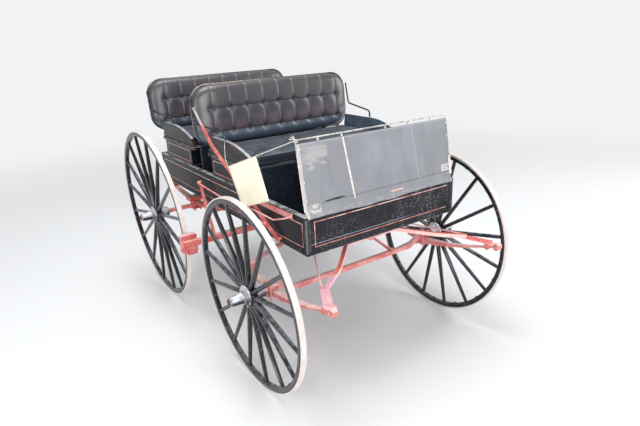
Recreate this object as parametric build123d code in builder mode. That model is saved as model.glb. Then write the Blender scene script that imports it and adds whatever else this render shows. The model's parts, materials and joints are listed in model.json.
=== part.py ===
# Open four-wheeled spring wagon with two tufted seats, a dash, a lever brake on the rear
# wheels and a steering front gear on side springs. Millimetres, +Z up, the front faces -Y.
import os
from math import cos, degrees, pi, radians, sin, tan

from build123d import *

os.makedirs("parts", exist_ok=True)

# Wheels: places, sizes and the outward lean of the wheel tops.
track = 1320.0
wheelbase = 1360.0
front_wheel_r = 508.0
rear_wheel_r = 582.0
camber = 2.6
tyre_w = 27.0
tyre_t = 7.0
felloe_w = 28.0
felloe_d = 29.0
felloe_chamfer = 6.0
spoke_count = 16
spoke_root_w = 22.0
spoke_root_t = 32.0
spoke_tip_w = 20.0
spoke_tip_t = 18.0
spoke_facets = 8
spoke_sink = 4.0
dish = 14.0
nave_r = 50.0
nave_ring = 14.0
ring_lip = 4.0
flange_t = 4.0
flange_edge = 3.0
nave_shoulder = 12.0
nave_in = 76.0
nave_end_r = 34.0
nose_root_r = 31.0
cap_r = 25.0
cap_edge = 5.0
cap_reach = 100.0
cap_depth = 22.0
arm_short = 2.0

# The coupling eyes reach this far ahead of the front axle, and the part's origin lies under
# the middle of its length.
coupling_reach = 560.0
front_y = -(wheelbase + rear_wheel_r - coupling_reach) / 2
rear_y = front_y + wheelbase

# Body box.
body_half_w = 485.0
body_bottom_z = 751.0
body_side_h = 192.0
body_front_y = front_y - 270.0
body_back_y = front_y + 1660.0
wall_t = 20.0
floor_t = 22.0
body_top_z = body_bottom_z + body_side_h
floor_top_z = body_bottom_z + floor_t
inner_half_w = body_half_w - wall_t
bead_r = 5.0

# Dash: a padded leather panel on an iron frame, with a rail above it.
dash_inset = 10.0
dash_h = 330.0
dash_t = 12.0
dash_rake = 9.0
dash_half_w = body_half_w - dash_inset
dash_y = body_front_y + wall_t / 2
dash_lift = 1.0
dash_corner_r = 10.0
rail_gap = 16.0
rail_r = 3.6
rail_bend_r = 16.0
rail_foot = 20.0
rail_post_w = 7.0
rail_posts = (-360.0, -225.0, 45.0, 195.0, 360.0)

# Seats: both are alike, one behind the other.
seat_pitch = 785.0
front_seat_y = front_y + 190.0
seat_depth = 560.0
seat_overhang = 15.0
seat_half_w = body_half_w + seat_overhang
pan_t = 20.0
pan_corner_r = 12.0
pan_edge_r = 5.0
riser_top_z = 1065.0
riser_t = 18.0
riser_fore = 80.0
riser_aft = 10.0
side_h = 118.0
side_front_h = 56.0
side_t = 16.0
side_inset = 6.0
side_flare = 12.0
side_back_gap = 20.0
side_notch_w = 30.0
side_notch_z = 28.0
cushion_t = 60.0
cushion_gap = 6.0
cushion_fore = 22.0
cushion_aft = 58.0
cushion_corner_r = 30.0
cushion_edge_r = 16.0
back_overhang = 56.0
back_half_w = seat_half_w + back_overhang
back_bottom_z = 1125.0
back_h = 355.0
back_t = 92.0
back_seat = 46.0
back_corner_r = 84.0
back_edge_r = 34.0
back_lean = 5.0
iron_r = 5.0
arm_bend_r = 26.0
arm_foot_y = 268.0
arm_rise = 40.0
arm_back_rise = 64.0
arm_back_y = 22.0
arm_back_z = 272.0
back_stay_inset = 176.0
back_stay_w = 34.0
back_stay_t = 8.0
back_stay_h = 300.0
stay_knee = 6.0
fall_t = 4.0
fall_inset = 8.0
fall_lift = 24.0
fall_drop = 2.0

# Rear gear.
axle_bar = 25.0
axle_bend_r = 60.0
collar_r = 20.0
collar_t = 11.0
spring_w = 36.0
leaf_t = 6.5
rear_spring_x = 385.0
rear_spring_half = 400.0
rear_tilt = 1.0
rear_bend_r = 4200.0
leaf_steps = (1.0, 0.74, 0.5, 0.28)
eye_r = 12.0
eye_lip = 1.0
pin_r = 6.0
cheek_t = 6.0
link_drop = 50.0
clip_t = 8.0
clip_rod_r = 4.5
clip_edge = 4.0
clip_tail = 14.0
saddle_t = 26.0
saddle_gap = 1.2
saddle_grow = 22.0
seat_block = 46.0
body_iron_aft = 44.0
body_iron_fore = 26.0
body_iron_len = 130.0
pin_slack = 0.05

# Front gear.
front_spring_x = 540.0
axle_drop = 42.0
bend_inset = 40.0
bend_run = 80.0
front_half_fwd = 505.0
front_half_aft = 215.0
front_tilt = 4.0
front_bend_r = 2000.0
coupling_out = 8.0
coupling_x = front_spring_x + coupling_out
coupling_z = 604.0
coupling_eye_r = 20.0
coupling_bore_r = 9.0
coupling_w = 30.0
blade_w = 46.0
blade_t = 7.0
blade_len = 150.0
blade_turn = 29.0
blade_rise = 15.0
blade_toe = 14.0
blade_lap = 26.0
hound_top_z = 702.0
hound_d = 20.0
hound_w = 20.0
hound_z = hound_top_z - hound_d
beam_sink = 2.0
beam_bend = 0.62
beam_bulge = 20.0
beam_bend_r = 400.0
bed_half_w = 174.0
bed_front = 155.0
bed_bar_w = 52.0
stay_r = 4.5
stay_inset = 42.0
strap_reach = 290.0
strap_root_w = 18.0
strap_foot_w = 40.0
strap_t = 7.0
strap_toe = 20.0
fifth_r = 190.0
fifth_w = 34.0
plate_t = 12.0
plate_gap = 0.5
transom_w = 120.0
transom_over = 30.0
king_r = 12.0
king_head_r = 24.0
king_tail = 26.0
king_nut_t = 14.0
king_gap = 2.0

# Brake.
lever_top_y = front_y + 700.0
lever_top_z = 1359.0
lever_foot_y = front_y - 30.0
lever_foot_z = 772.0
lever_t = 8.0
lever_w = 27.0
lever_tip_w = 22.0
lever_gap = 10.0
lever_clear = 3.0
lever_knee = 0.74
lever_bow = 50.0
lever_knee_r = 160.0
grip_r = 6.5
grip_len = 124.0
grip_knob_r = 9.0
lever_pin_r = 9.0
rocker_y = front_y + 800.0
rocker_z = 722.0
rocker_r = 13.0
rocker_wall = 7.0
rocker_arm_r = 16.0
rocker_out = 41.0
arm_t = 12.0
knob_y = front_y + 862.0
knob_z = 881.0
knob_r = 13.0
knob_neck = 9.0
shoe_gap = 8.0
shoe_w = 96.0
shoe_h = 112.0
shoe_t = 40.0
shoe_z = 556.0
shoe_corner = 6.0
shoe_bed = 40.0
nose_w = 60.0
nose_h = 43.0
nose_len = 35.0
beam_d = 28.0
beam_h = 40.0
beam_gap = 1.0
beam_corner = 5.0
bracket_w = 24.0
ratchet_z = 922.0
ratchet_fwd = 165.0
ratchet_aft = 205.0
ratchet_t = 8.0
ratchet_h = 26.0
ratchet_end = 10.0
ratchet_teeth = 18
ratchet_boss_r = 8.0
ratchet_boss_drop = 2.0
ratchet_boss_shares = (0.07, 0.5, 0.93)
tooth_h = 6.0
tooth_share = 0.8
guard_r = 4.0
guard_clear = 3.0
guard_drop = 34.0
guard_share = 0.3
guard_bend_r = 10.0
rod_share = 0.115
rod_r = 5.0
rod_eye_r = 11.0
rod_eye_t = 10.0

fit = 0.3


def save(builder, name):
    builder.part.label = name
    export_step(builder.part, f"parts/{name}.step")


# Wheels: one hub, one ring of spokes with its felloe and one steel tyre each. Rows give
# name, side (+1 left, -1 right), radius and the axle's place along the body.
wheel_table = (
    ("front_right", -1, front_wheel_r, front_y),
    ("front_left", 1, front_wheel_r, front_y),
    ("rear_right", -1, rear_wheel_r, rear_y),
    ("rear_left", 1, rear_wheel_r, rear_y),
)
lean_x = sin(radians(camber))
lean_z = cos(radians(camber))
bore_r = axle_bar / 2 + pin_slack
ring_half = spoke_root_t / 2 + ring_lip
barrel_r = nave_r - nave_ring / 2 - fit
flange_r = nave_r + nave_ring / 2 + 1
flange_face = ring_half + fit
flange_back = flange_face + flange_t


def oval(width, depth):
    """The faceted oval section of a spoke, this wide and deep over its flats."""
    half_turn = pi / spoke_facets
    reach = 0.5 / cos(half_turn)
    turns = [(2 * facet + 1) * half_turn for facet in range(spoke_facets)]
    return Polygon(*[(width * reach * cos(turn), depth * reach * sin(turn)) for turn in turns])


def wheel_frame(side, radius, axle_y):
    centre = Vector(side * (track / 2 + radius * lean_x), axle_y, radius * lean_z)
    outward = Vector(side * lean_z, 0, -lean_x)
    upward = Vector(side * lean_x, 0, lean_z)
    return centre, outward, upward


for wheel_name, side, radius, axle_y in wheel_table:
    centre, outward, upward = wheel_frame(side, radius, axle_y)
    profile = Plane(origin=centre, x_dir=outward, z_dir=outward.cross(upward))
    hub_axis = Axis(centre, outward)
    cone = tan(radians(camber)) * tyre_w / 2

    with BuildPart() as tyre:
        with BuildSketch(profile):
            with BuildLine():
                Polyline(
                    (-tyre_w / 2, radius - tyre_t),
                    (tyre_w / 2, radius - tyre_t),
                    (tyre_w / 2, radius - cone),
                    (-tyre_w / 2, radius + cone),
                    close=True,
                )
            make_face()
        revolve(axis=hub_axis)
    save(tyre, f"{wheel_name}_tyre")

    felloe_r = radius - tyre_t
    with BuildPart() as spokes:
        with BuildSketch(profile):
            with Locations((0, felloe_r - felloe_d / 2)):
                rim = Rectangle(felloe_w, felloe_d)
            chamfer(rim.vertices().group_by(Axis.Z)[0], felloe_chamfer)
        revolve(axis=hub_axis)
        for index in range(spoke_count):
            turn = (index + 0.5) * 360 / spoke_count
            ray = upward.rotate(hub_axis, turn)
            root = centre - outward * dish + ray * (nave_r - spoke_sink)
            tip = centre + ray * (felloe_r - felloe_d + spoke_sink)
            run = tip - root
            across = outward.cross(ray)
            with BuildSketch(Plane(origin=root, x_dir=across, z_dir=run.normalized())):
                oval(spoke_root_w, spoke_root_t)
            with BuildSketch(Plane(origin=tip, x_dir=across, z_dir=run.normalized())):
                oval(spoke_tip_w, spoke_tip_t)
            loft()
        with BuildSketch(profile):
            with Locations((-dish, nave_r)):
                Rectangle(2 * ring_half, nave_ring)
        revolve(axis=hub_axis)
    save(spokes, f"{wheel_name}_spokes")

    with BuildPart() as hub:
        with BuildSketch(profile):
            with BuildLine():
                Polyline(
                    (-dish - nave_in, bore_r),
                    (-dish - nave_in, nave_end_r),
                    (-dish - flange_back - nave_shoulder, barrel_r - flange_edge),
                    (-dish - flange_back, flange_r - flange_edge),
                    (-dish - flange_face, flange_r),
                    (-dish - flange_face, barrel_r),
                    (-dish + flange_face, barrel_r),
                    (-dish + flange_face, flange_r),
                    (-dish + flange_back, flange_r - flange_edge),
                    (-dish + flange_back + nave_shoulder, nose_root_r),
                    (cap_reach - nave_shoulder, cap_r),
                    (cap_reach, cap_r - cap_edge),
                    (cap_reach, 0),
                    (cap_reach - cap_depth, 0),
                    (cap_reach - cap_depth, bore_r),
                    close=True,
                )
            make_face()
        revolve(axis=hub_axis)
    save(hub, f"{wheel_name}_hub")

# Body box: a floor between two side panels, closed by a front panel and a tail panel.
body_len = body_back_y - body_front_y
body_mid_y = (body_front_y + body_back_y) / 2
with BuildPart() as floor:
    with BuildSketch(Plane.XY.offset(body_bottom_z)):
        with Locations((0, body_mid_y)):
            Rectangle(2 * inner_half_w, body_len - 2 * wall_t)
    extrude(amount=floor_t)
save(floor, "floor")

for side_name, side in (("right", -1), ("left", 1)):
    with BuildPart() as side_panel:
        with BuildSketch(Plane.XZ.offset(-body_front_y)):
            with Locations((side * (body_half_w - wall_t / 2), body_bottom_z + body_side_h / 2)):
                Rectangle(wall_t, body_side_h)
            with Locations((side * body_half_w, body_top_z - bead_r)):
                Circle(bead_r)
            with Locations((side * body_half_w, body_bottom_z + bead_r)):
                Circle(bead_r)
        extrude(amount=-body_len)
    save(side_panel, f"side_panel_{side_name}")

for end_name, end_y in (("front_panel", body_front_y), ("tail_panel", body_back_y - wall_t)):
    with BuildPart() as end_panel:
        with BuildSketch(Plane.XZ.offset(-end_y)):
            with Locations((0, body_bottom_z + body_side_h / 2)):
                Rectangle(2 * inner_half_w, body_side_h)
        extrude(amount=-wall_t)
    save(end_panel, end_name)

# Dash, leaning back a little from the top of the front panel.
dash_plane = Plane(
    origin=(0, dash_y, body_top_z),
    x_dir=(1, 0, 0),
    z_dir=(0, -cos(radians(dash_rake)), sin(radians(dash_rake))),
)
with BuildPart() as dash_panel:
    with BuildSketch(dash_plane.offset(-dash_t / 2)):
        with Locations((0, dash_h / 2 + dash_lift)):
            RectangleRounded(2 * dash_half_w, dash_h, dash_corner_r)
    extrude(amount=dash_t)
save(dash_panel, "dash_panel")

dash_top = dash_lift + dash_h
rail_u = dash_half_w + rail_r + fit
rail_v = dash_top + rail_gap
with BuildPart() as dash_rail:
    with BuildLine(dash_plane) as rail_path:
        FilletPolyline(
            (-rail_u, rail_foot),
            (-rail_u, rail_v),
            (rail_u, rail_v),
            (rail_u, rail_foot),
            radius=rail_bend_r,
        )
    with BuildSketch(Plane(origin=rail_path.line @ 0, z_dir=rail_path.line % 0)):
        Circle(rail_r)
    sweep(path=rail_path.line)
    for post_x in rail_posts:
        with BuildSketch(dash_plane.offset(-rail_post_w / 2)):
            with Locations((post_x, dash_top + (rail_gap + fit) / 2)):
                Rectangle(rail_post_w, rail_gap - fit)
        extrude(amount=rail_post_w)
save(dash_rail, "dash_rail")

# Seats. Rows give name and the place of the pan's front edge.
seat_table = (
    ("front_seat", front_seat_y),
    ("rear_seat", front_seat_y + seat_pitch),
)
pan_top_z = riser_top_z + pan_t
side_inner_w = seat_half_w - side_t - side_inset
side_len = seat_depth - side_back_gap
cushion_len = seat_depth - cushion_fore - cushion_aft
arm_x = back_half_w + iron_r + fit
arm_foot_x = seat_half_w + 2 * iron_r
arm_foot_z = pan_top_z + side_h - 2
back_stay_x = back_half_w - back_stay_inset
lean = radians(back_lean)
for seat_name, seat_y in seat_table:
    seat_back_y = seat_y + seat_depth
    riser_y0 = seat_y + riser_fore
    riser_y1 = seat_back_y - riser_aft
    with BuildPart() as riser:
        with BuildSketch(Plane.XY.offset(body_top_z)):
            for side in (-1, 1):
                with Locations((side * (body_half_w - riser_t / 2), (riser_y0 + riser_y1) / 2)):
                    Rectangle(riser_t, riser_y1 - riser_y0)
        extrude(amount=riser_top_z - body_top_z)
        with BuildSketch(Plane.XY.offset(floor_top_z)):
            for wall_y in (riser_y0 + riser_t / 2, riser_y1 - riser_t / 2):
                with Locations((0, wall_y)):
                    Rectangle(2 * inner_half_w - 2 * fit, riser_t)
        extrude(amount=riser_top_z - floor_top_z)
        with BuildSketch(Plane.XY.offset(body_top_z)):
            for wall_y in (riser_y0 + riser_t / 2, riser_y1 - riser_t / 2):
                with Locations((0, wall_y)):
                    Rectangle(2 * body_half_w, riser_t)
        extrude(amount=riser_top_z - body_top_z)
    save(riser, f"{seat_name}_riser")

    with BuildPart() as pan:
        with BuildSketch(Plane.XY.offset(riser_top_z)):
            with Locations((0, seat_y + seat_depth / 2)):
                RectangleRounded(2 * seat_half_w, seat_depth, pan_corner_r)
        extrude(amount=pan_t)
        fillet(pan.edges().group_by(Axis.Z)[-1], pan_edge_r)
    save(pan, f"{seat_name}_pan")

    with BuildPart() as seat_sides:
        for side in (-1, 1):
            flare = radians(side_flare)
            side_plane = Plane(
                origin=(side * side_inner_w, seat_y, pan_top_z),
                x_dir=(0, 1, 0),
                z_dir=(cos(flare), 0, -sin(flare)) if side > 0 else (cos(flare), 0, sin(flare)),
            )
            with BuildSketch(side_plane):
                with BuildLine():
                    foot = Polyline(
                        (0, -side_t / 2),
                        (side_len, -side_t / 2),
                        (side_len, side_notch_z),
                        (side_len - side_notch_w, side_notch_z),
                        (side_len - side_notch_w + side_h * tan(lean), side_h),
                    )
                    Line(foot @ 1, (seat_depth * 0.5, side_h))
                    ThreePointArc(
                        (seat_depth * 0.5, side_h),
                        (seat_depth * 0.2, side_h * 0.84),
                        (0, side_front_h),
                    )
                    Line((0, side_front_h), (0, -side_t / 2))
                make_face()
            extrude(amount=side * side_t)
        split(bisect_by=Plane.XY.offset(pan_top_z), keep=Keep.TOP)
    save(seat_sides, f"{seat_name}_sides")

    with BuildPart() as cushion:
        with BuildSketch(Plane.XY.offset(pan_top_z + fit)):
            with Locations((0, seat_y + cushion_fore + cushion_len / 2)):
                RectangleRounded(2 * (side_inner_w - cushion_gap), cushion_len, cushion_corner_r)
        extrude(amount=cushion_t)
        fillet(cushion.edges().group_by(Axis.Z)[-1], cushion_edge_r)
    save(cushion, f"{seat_name}_cushion")

    back_front = Plane(
        origin=(0, seat_back_y - back_seat, back_bottom_z),
        x_dir=(1, 0, 0),
        z_dir=(0, -cos(lean), sin(lean)),
    )
    with BuildPart() as back:
        with BuildSketch(back_front.offset(-back_t)):
            with Locations((0, back_h / 2)):
                RectangleRounded(2 * back_half_w, back_h, back_corner_r)
        extrude(amount=back_t)
        fillet(back.faces().sort_by(Axis.Y)[0].edges(), back_edge_r)
    save(back, f"{seat_name}_back")

    with BuildPart() as fall:
        with BuildSketch(Plane.XY.offset(floor_top_z + fall_lift)):
            with Locations((0, seat_y - fall_t / 2 - fit)):
                Rectangle(2 * (inner_half_w - fall_inset), fall_t)
        extrude(amount=pan_top_z - fall_drop - floor_top_z - fall_lift)
    save(fall, f"{seat_name}_fall")

    with BuildPart() as irons:
        for side in (-1, 1):
            with BuildLine() as arm_path:
                FilletPolyline(
                    (side * arm_x, seat_back_y + arm_back_y, back_bottom_z + arm_back_z),
                    (side * arm_x, seat_back_y - iron_r, arm_foot_z + arm_back_rise),
                    (side * (arm_foot_x + 2), seat_y + arm_foot_y + 4, arm_foot_z + arm_rise),
                    (side * arm_foot_x, seat_y + arm_foot_y, arm_foot_z),
                    radius=arm_bend_r,
                )
            with BuildSketch(Plane(origin=arm_path.line @ 0, z_dir=arm_path.line % 0)):
                Circle(iron_r)
            sweep(path=arm_path.line)
        foot_y = seat_back_y + fit
        lean_y = back_front.origin.Y + back_t / cos(lean) + 1
        top_y = lean_y + back_stay_h * tan(lean)
        for stay_x in (-back_stay_x, 0, back_stay_x):
            with BuildSketch(Plane.YZ.offset(stay_x - back_stay_w / 2)):
                with BuildLine():
                    Polyline(
                        (foot_y, riser_top_z),
                        (foot_y + back_stay_t, riser_top_z),
                        (foot_y + back_stay_t, pan_top_z - stay_knee),
                        (lean_y + back_stay_t, back_bottom_z - 2 * stay_knee),
                        (top_y + back_stay_t, back_bottom_z + back_stay_h),
                        (top_y, back_bottom_z + back_stay_h),
                        (lean_y, back_bottom_z - 2 * stay_knee),
                        (foot_y, pan_top_z - stay_knee / 3),
                        close=True,
                    )
                make_face()
            extrude(amount=back_stay_w)
    save(irons, f"{seat_name}_irons")


def half_spring(mid, top_z, heading, length, tilt, bend_r, steps):
    """Half of a leaf pack that rises away from its seat, and the centre of its eye."""
    centre = (mid - heading * bend_r * sin(radians(tilt)), top_z + bend_r * cos(radians(tilt)))
    reach = degrees(length / bend_r)
    start = -90 + heading * tilt
    with BuildSketch() as leaves:
        for step_index, share in enumerate(steps):
            leaf_r = bend_r + step_index * leaf_t
            with BuildLine():
                inner = CenterArc(centre, leaf_r, start, heading * reach * share)
                outer = CenterArc(centre, leaf_r + leaf_t, start, heading * reach * share)
                Line(inner @ 0, outer @ 0)
                Line(inner @ 1, outer @ 1)
            make_face()
    end_angle = radians(start + heading * reach)
    eye_arm = bend_r + leaf_t / 2
    eye = (centre[0] + eye_arm * cos(end_angle), centre[1] + eye_arm * sin(end_angle))
    return leaves.sketch, eye


# Axles: a square bar with round arms in the naves. Rows give name, wheel radius, place and
# how far the bar drops between the springs.
axle_table = (
    ("front_axle", front_wheel_r, front_y, axle_drop),
    ("rear_axle", rear_wheel_r, rear_y, 0.0),
)
axle_z = {}
arm_inner = dish + nave_in + collar_t + 1
for axle_name, radius, axle_y, drop in axle_table:
    centre, outward, upward = wheel_frame(1, radius, axle_y)
    inner = centre - outward * arm_inner
    axle_z[axle_name] = inner.Z
    with BuildPart() as axle:
        with BuildLine() as bar_path:
            if drop > 0:
                FilletPolyline(
                    (-inner.X, axle_y, inner.Z),
                    (-front_spring_x + bend_inset, axle_y, inner.Z),
                    (-front_spring_x + bend_inset + bend_run, axle_y, inner.Z - drop),
                    (front_spring_x - bend_inset - bend_run, axle_y, inner.Z - drop),
                    (front_spring_x - bend_inset, axle_y, inner.Z),
                    (inner.X, axle_y, inner.Z),
                    radius=axle_bend_r,
                )
            else:
                Line((-inner.X, axle_y, inner.Z), (inner.X, axle_y, inner.Z))
        with BuildSketch(Plane(origin=bar_path.line @ 0, x_dir=(0, 1, 0), z_dir=(1, 0, 0))):
            Rectangle(axle_bar, axle_bar)
        sweep(path=bar_path.line)
        for side in (-1, 1):
            wheel_centre, away, up = wheel_frame(side, radius, axle_y)
            arm_root = wheel_centre - away * arm_inner
            with BuildSketch(Plane(origin=arm_root, z_dir=away)):
                Circle(axle_bar / 2)
            extrude(amount=arm_inner + cap_reach - cap_depth - arm_short)
            with BuildSketch(Plane(origin=arm_root, z_dir=away)):
                Circle(collar_r)
            extrude(amount=collar_t)
    save(axle, axle_name)

# Front side springs, slung under the axle.
front_seat_z = axle_z["front_axle"] - axle_bar / 2 * (1 + tan(radians(front_tilt))) - fit
fore_half, fore_eye = half_spring(
    front_y, front_seat_z, -1, front_half_fwd, front_tilt, front_bend_r, leaf_steps
)
aft_half, aft_eye = half_spring(
    front_y, front_seat_z, 1, front_half_aft, front_tilt, front_bend_r, leaf_steps
)
with BuildPart() as front_side_springs:
    for side in (-1, 1):
        with BuildSketch(Plane.YZ.offset(side * front_spring_x - spring_w / 2)):
            add(fore_half)
            add(aft_half)
            with Locations((front_y, front_seat_z - len(leaf_steps) * leaf_t / 2)):
                Rectangle(seat_block, len(leaf_steps) * leaf_t)
            with Locations(fore_eye, aft_eye):
                Circle(eye_r)
            with Locations(fore_eye, aft_eye):
                Circle(pin_r + pin_slack, mode=Mode.SUBTRACT)
        extrude(amount=spring_w)
save(front_side_springs, "front_side_springs")

# Rear side springs, seated on top of the axle under the body.
rear_seat_z = axle_z["rear_axle"] + axle_bar / 2 + fit + len(leaf_steps) * leaf_t
rear_fore_half, rear_fore_eye = half_spring(
    rear_y, rear_seat_z, -1, rear_spring_half, rear_tilt, rear_bend_r, leaf_steps
)
rear_aft_half, rear_aft_eye = half_spring(
    rear_y, rear_seat_z, 1, rear_spring_half, rear_tilt, rear_bend_r, leaf_steps
)
with BuildPart() as rear_side_springs:
    for side in (-1, 1):
        with BuildSketch(Plane.YZ.offset(side * rear_spring_x - spring_w / 2)):
            add(rear_fore_half)
            add(rear_aft_half)
            with Locations((rear_y, rear_seat_z - len(leaf_steps) * leaf_t / 2)):
                Rectangle(seat_block, len(leaf_steps) * leaf_t)
            with Locations(rear_fore_eye, rear_aft_eye):
                Circle(eye_r)
            with Locations(rear_fore_eye, rear_aft_eye):
                Circle(pin_r + pin_slack, mode=Mode.SUBTRACT)
        extrude(amount=spring_w)
save(rear_side_springs, "rear_side_springs")

# Cross springs, arched upwards between the side springs' rear eyes. Rows give name, half
# span, place, height of the eyes and height of the top of the pack.
front_link_z = aft_eye[1] + link_drop
rear_link_z = rear_aft_eye[1] + link_drop
cross_table = (
    ("front_cross_spring", front_spring_x, aft_eye[0], front_link_z, hound_z - fit),
    ("rear_cross_spring", rear_spring_x, rear_aft_eye[0], rear_link_z, body_bottom_z - fit),
)
for cross_name, half_span, cross_y, eye_z, crown_z in cross_table:
    inner_z = crown_z - len(leaf_steps) * leaf_t
    rise = inner_z + leaf_t / 2 - eye_z
    arch_r = (half_span**2 + rise**2) / (2 * rise) - leaf_t / 2
    reach = degrees(half_span / (arch_r + leaf_t / 2))
    with BuildPart() as cross_spring:
        with BuildSketch(Plane.XZ.offset(-cross_y - spring_w / 2)):
            for step_index, share in enumerate(leaf_steps):
                leaf_r = arch_r + step_index * leaf_t
                start = 90 - reach * share
                with BuildLine():
                    inner = CenterArc((0, inner_z - arch_r), leaf_r, start, 2 * reach * share)
                    outer = CenterArc((0, inner_z - arch_r), leaf_r + leaf_t, start, 2 * reach * share)
                    Line(inner @ 0, outer @ 0)
                    Line(inner @ 1, outer @ 1)
                make_face()
            with Locations((-half_span, eye_z), (half_span, eye_z)):
                Circle(eye_r)
            with Locations((-half_span, eye_z), (half_span, eye_z)):
                Circle(pin_r + pin_slack, mode=Mode.SUBTRACT)
        extrude(amount=spring_w)
    save(cross_spring, cross_name)

# Shackles: a yoke with one pin across and one pin along, between a side spring's eye and
# the cross spring's eye above it.
cheek_gap = spring_w / 2 + fit
cheek_half = eye_r + eye_lip
shackle_table = (
    ("front_shackles", front_spring_x, aft_eye, front_link_z),
    ("rear_shackles", rear_spring_x, rear_aft_eye, rear_link_z),
)
for shackle_name, link_x, low_eye, high_z in shackle_table:
    yoke_z = (low_eye[1] + high_z) / 2
    yoke_half = link_drop / 2 - eye_r - eye_lip
    with BuildPart() as shackles:
        for side in (-1, 1):
            with BuildSketch(Plane.XY.offset(yoke_z - yoke_half)):
                with Locations((side * link_x, low_eye[0])):
                    Rectangle(2 * (cheek_gap + cheek_t), 2 * (cheek_gap + cheek_t))
            extrude(amount=2 * yoke_half)
            for cheek in (-1, 1):
                cheek_x = side * link_x + cheek * (cheek_gap + cheek_t / 2)
                with BuildSketch(Plane.YZ.offset(cheek_x - cheek_t / 2)):
                    with Locations(low_eye):
                        Circle(cheek_half)
                    with Locations((low_eye[0], (low_eye[1] + yoke_z) / 2)):
                        Rectangle(2 * cheek_half, yoke_z - low_eye[1])
                extrude(amount=cheek_t)
                cheek_y = low_eye[0] + cheek * (cheek_gap + cheek_t / 2)
                with BuildSketch(Plane.XZ.offset(-cheek_y - cheek_t / 2)):
                    with Locations((side * link_x, high_z)):
                        Circle(cheek_half)
                    with Locations((side * link_x, (high_z + yoke_z) / 2)):
                        Rectangle(2 * cheek_half, high_z - yoke_z)
                extrude(amount=cheek_t)
            with BuildSketch(Plane.YZ.offset(side * link_x - cheek_gap - cheek_t)):
                with Locations(low_eye):
                    Circle(pin_r)
            extrude(amount=2 * (cheek_gap + cheek_t))
            with BuildSketch(Plane.XZ.offset(-low_eye[0] - cheek_gap - cheek_t)):
                with Locations((side * link_x, high_z)):
                    Circle(pin_r)
            extrude(amount=2 * (cheek_gap + cheek_t))
    save(shackles, shackle_name)

# Clips: a plate below, a plate or a broad wooden saddle above, and four bolts round axle
# and spring. Rows give name, spring place, axle place, the levels of the two inner faces,
# and the upper piece's thickness, width and length.
bolt_x = spring_w / 2 + clip_rod_r + 1
bolt_y = seat_block / 2 + clip_rod_r + 1
plate_w = 2 * (bolt_x + clip_rod_r + clip_edge)
plate_len = 2 * (bolt_y + clip_rod_r + clip_edge)
clip_table = (
    (
        "front_clips",
        front_spring_x,
        front_y,
        front_seat_z - len(leaf_steps) * leaf_t - fit,
        axle_z["front_axle"] + axle_bar / 2 + fit,
        (clip_t, plate_w, plate_len),
    ),
    (
        "rear_clips",
        rear_spring_x,
        rear_y,
        axle_z["rear_axle"] - axle_bar / 2 - fit,
        rear_seat_z + saddle_gap,
        (saddle_t, plate_w + 2 * saddle_grow, plate_len + saddle_grow / 2),
    ),
)
for clip_name, clip_x, clip_y, low_z, high_z, (top_t, top_w, top_len) in clip_table:
    with BuildPart() as clips:
        for side in (-1, 1):
            with BuildSketch(Plane.XY.offset(low_z - clip_t)):
                with Locations((side * clip_x, clip_y)):
                    RectangleRounded(plate_w, plate_len, clip_edge)
            extrude(amount=clip_t)
            with BuildSketch(Plane.XY.offset(high_z)):
                with Locations((side * clip_x, clip_y)):
                    RectangleRounded(top_w, top_len, clip_edge)
            extrude(amount=top_t)
            with BuildSketch(Plane.XY.offset(low_z - clip_t - clip_tail)):
                with Locations((side * clip_x, clip_y)):
                    with GridLocations(2 * bolt_x, 2 * bolt_y, 2, 2):
                        Circle(clip_rod_r)
            extrude(amount=high_z - low_z + top_t + clip_t + clip_tail + clip_edge)
    save(clips, clip_name)

# Body irons that hold the front eyes of the rear side springs.
with BuildPart() as body_irons:
    for side in (-1, 1):
        for cheek in (-1, 1):
            cheek_x = side * rear_spring_x + cheek * (cheek_gap + cheek_t / 2)
            with BuildSketch(Plane.YZ.offset(cheek_x - cheek_t / 2)):
                with BuildLine():
                    Polyline(
                        (rear_fore_eye[0] - cheek_half, rear_fore_eye[1]),
                        (rear_fore_eye[0] + cheek_half, rear_fore_eye[1]),
                        (rear_fore_eye[0] + body_iron_aft, body_bottom_z - clip_t),
                        (rear_fore_eye[0] - body_iron_fore, body_bottom_z - clip_t),
                        close=True,
                    )
                make_face()
                with Locations(rear_fore_eye):
                    Circle(cheek_half)
            extrude(amount=cheek_t)
        with BuildSketch(Plane.YZ.offset(side * rear_spring_x - cheek_gap - cheek_t)):
            with Locations(rear_fore_eye):
                Circle(pin_r)
        extrude(amount=2 * (cheek_gap + cheek_t))
        with BuildSketch(Plane.XY.offset(body_bottom_z - clip_t)):
            with Locations((side * rear_spring_x, rear_fore_eye[0] + cheek_half)):
                Rectangle(2 * (cheek_gap + cheek_t), body_iron_len)
        extrude(amount=clip_t)
save(body_irons, "body_irons")

# Hound frame: a bed under the lower fifth wheel, two beams that curve out to the coupling
# ends, and a broad flat blade at each end that turns towards its beam.
bed_back = aft_eye[0] + spring_w / 2
bed_y0 = front_y - bed_front
end_plate_z = fore_eye[1] + cheek_half + eye_lip
blade_z = end_plate_z + clip_t
blade_slope = blade_rise / blade_len


def blade_frame(side):
    """The root of an end's blade, its direction backwards and its direction inwards."""
    root = Vector(side * front_spring_x, fore_eye[0], blade_z)
    along = Vector(-side * sin(radians(blade_turn)), cos(radians(blade_turn)), 0)
    inward = Vector(-side * cos(radians(blade_turn)), -sin(radians(blade_turn)), 0)
    return root, along, inward


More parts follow.
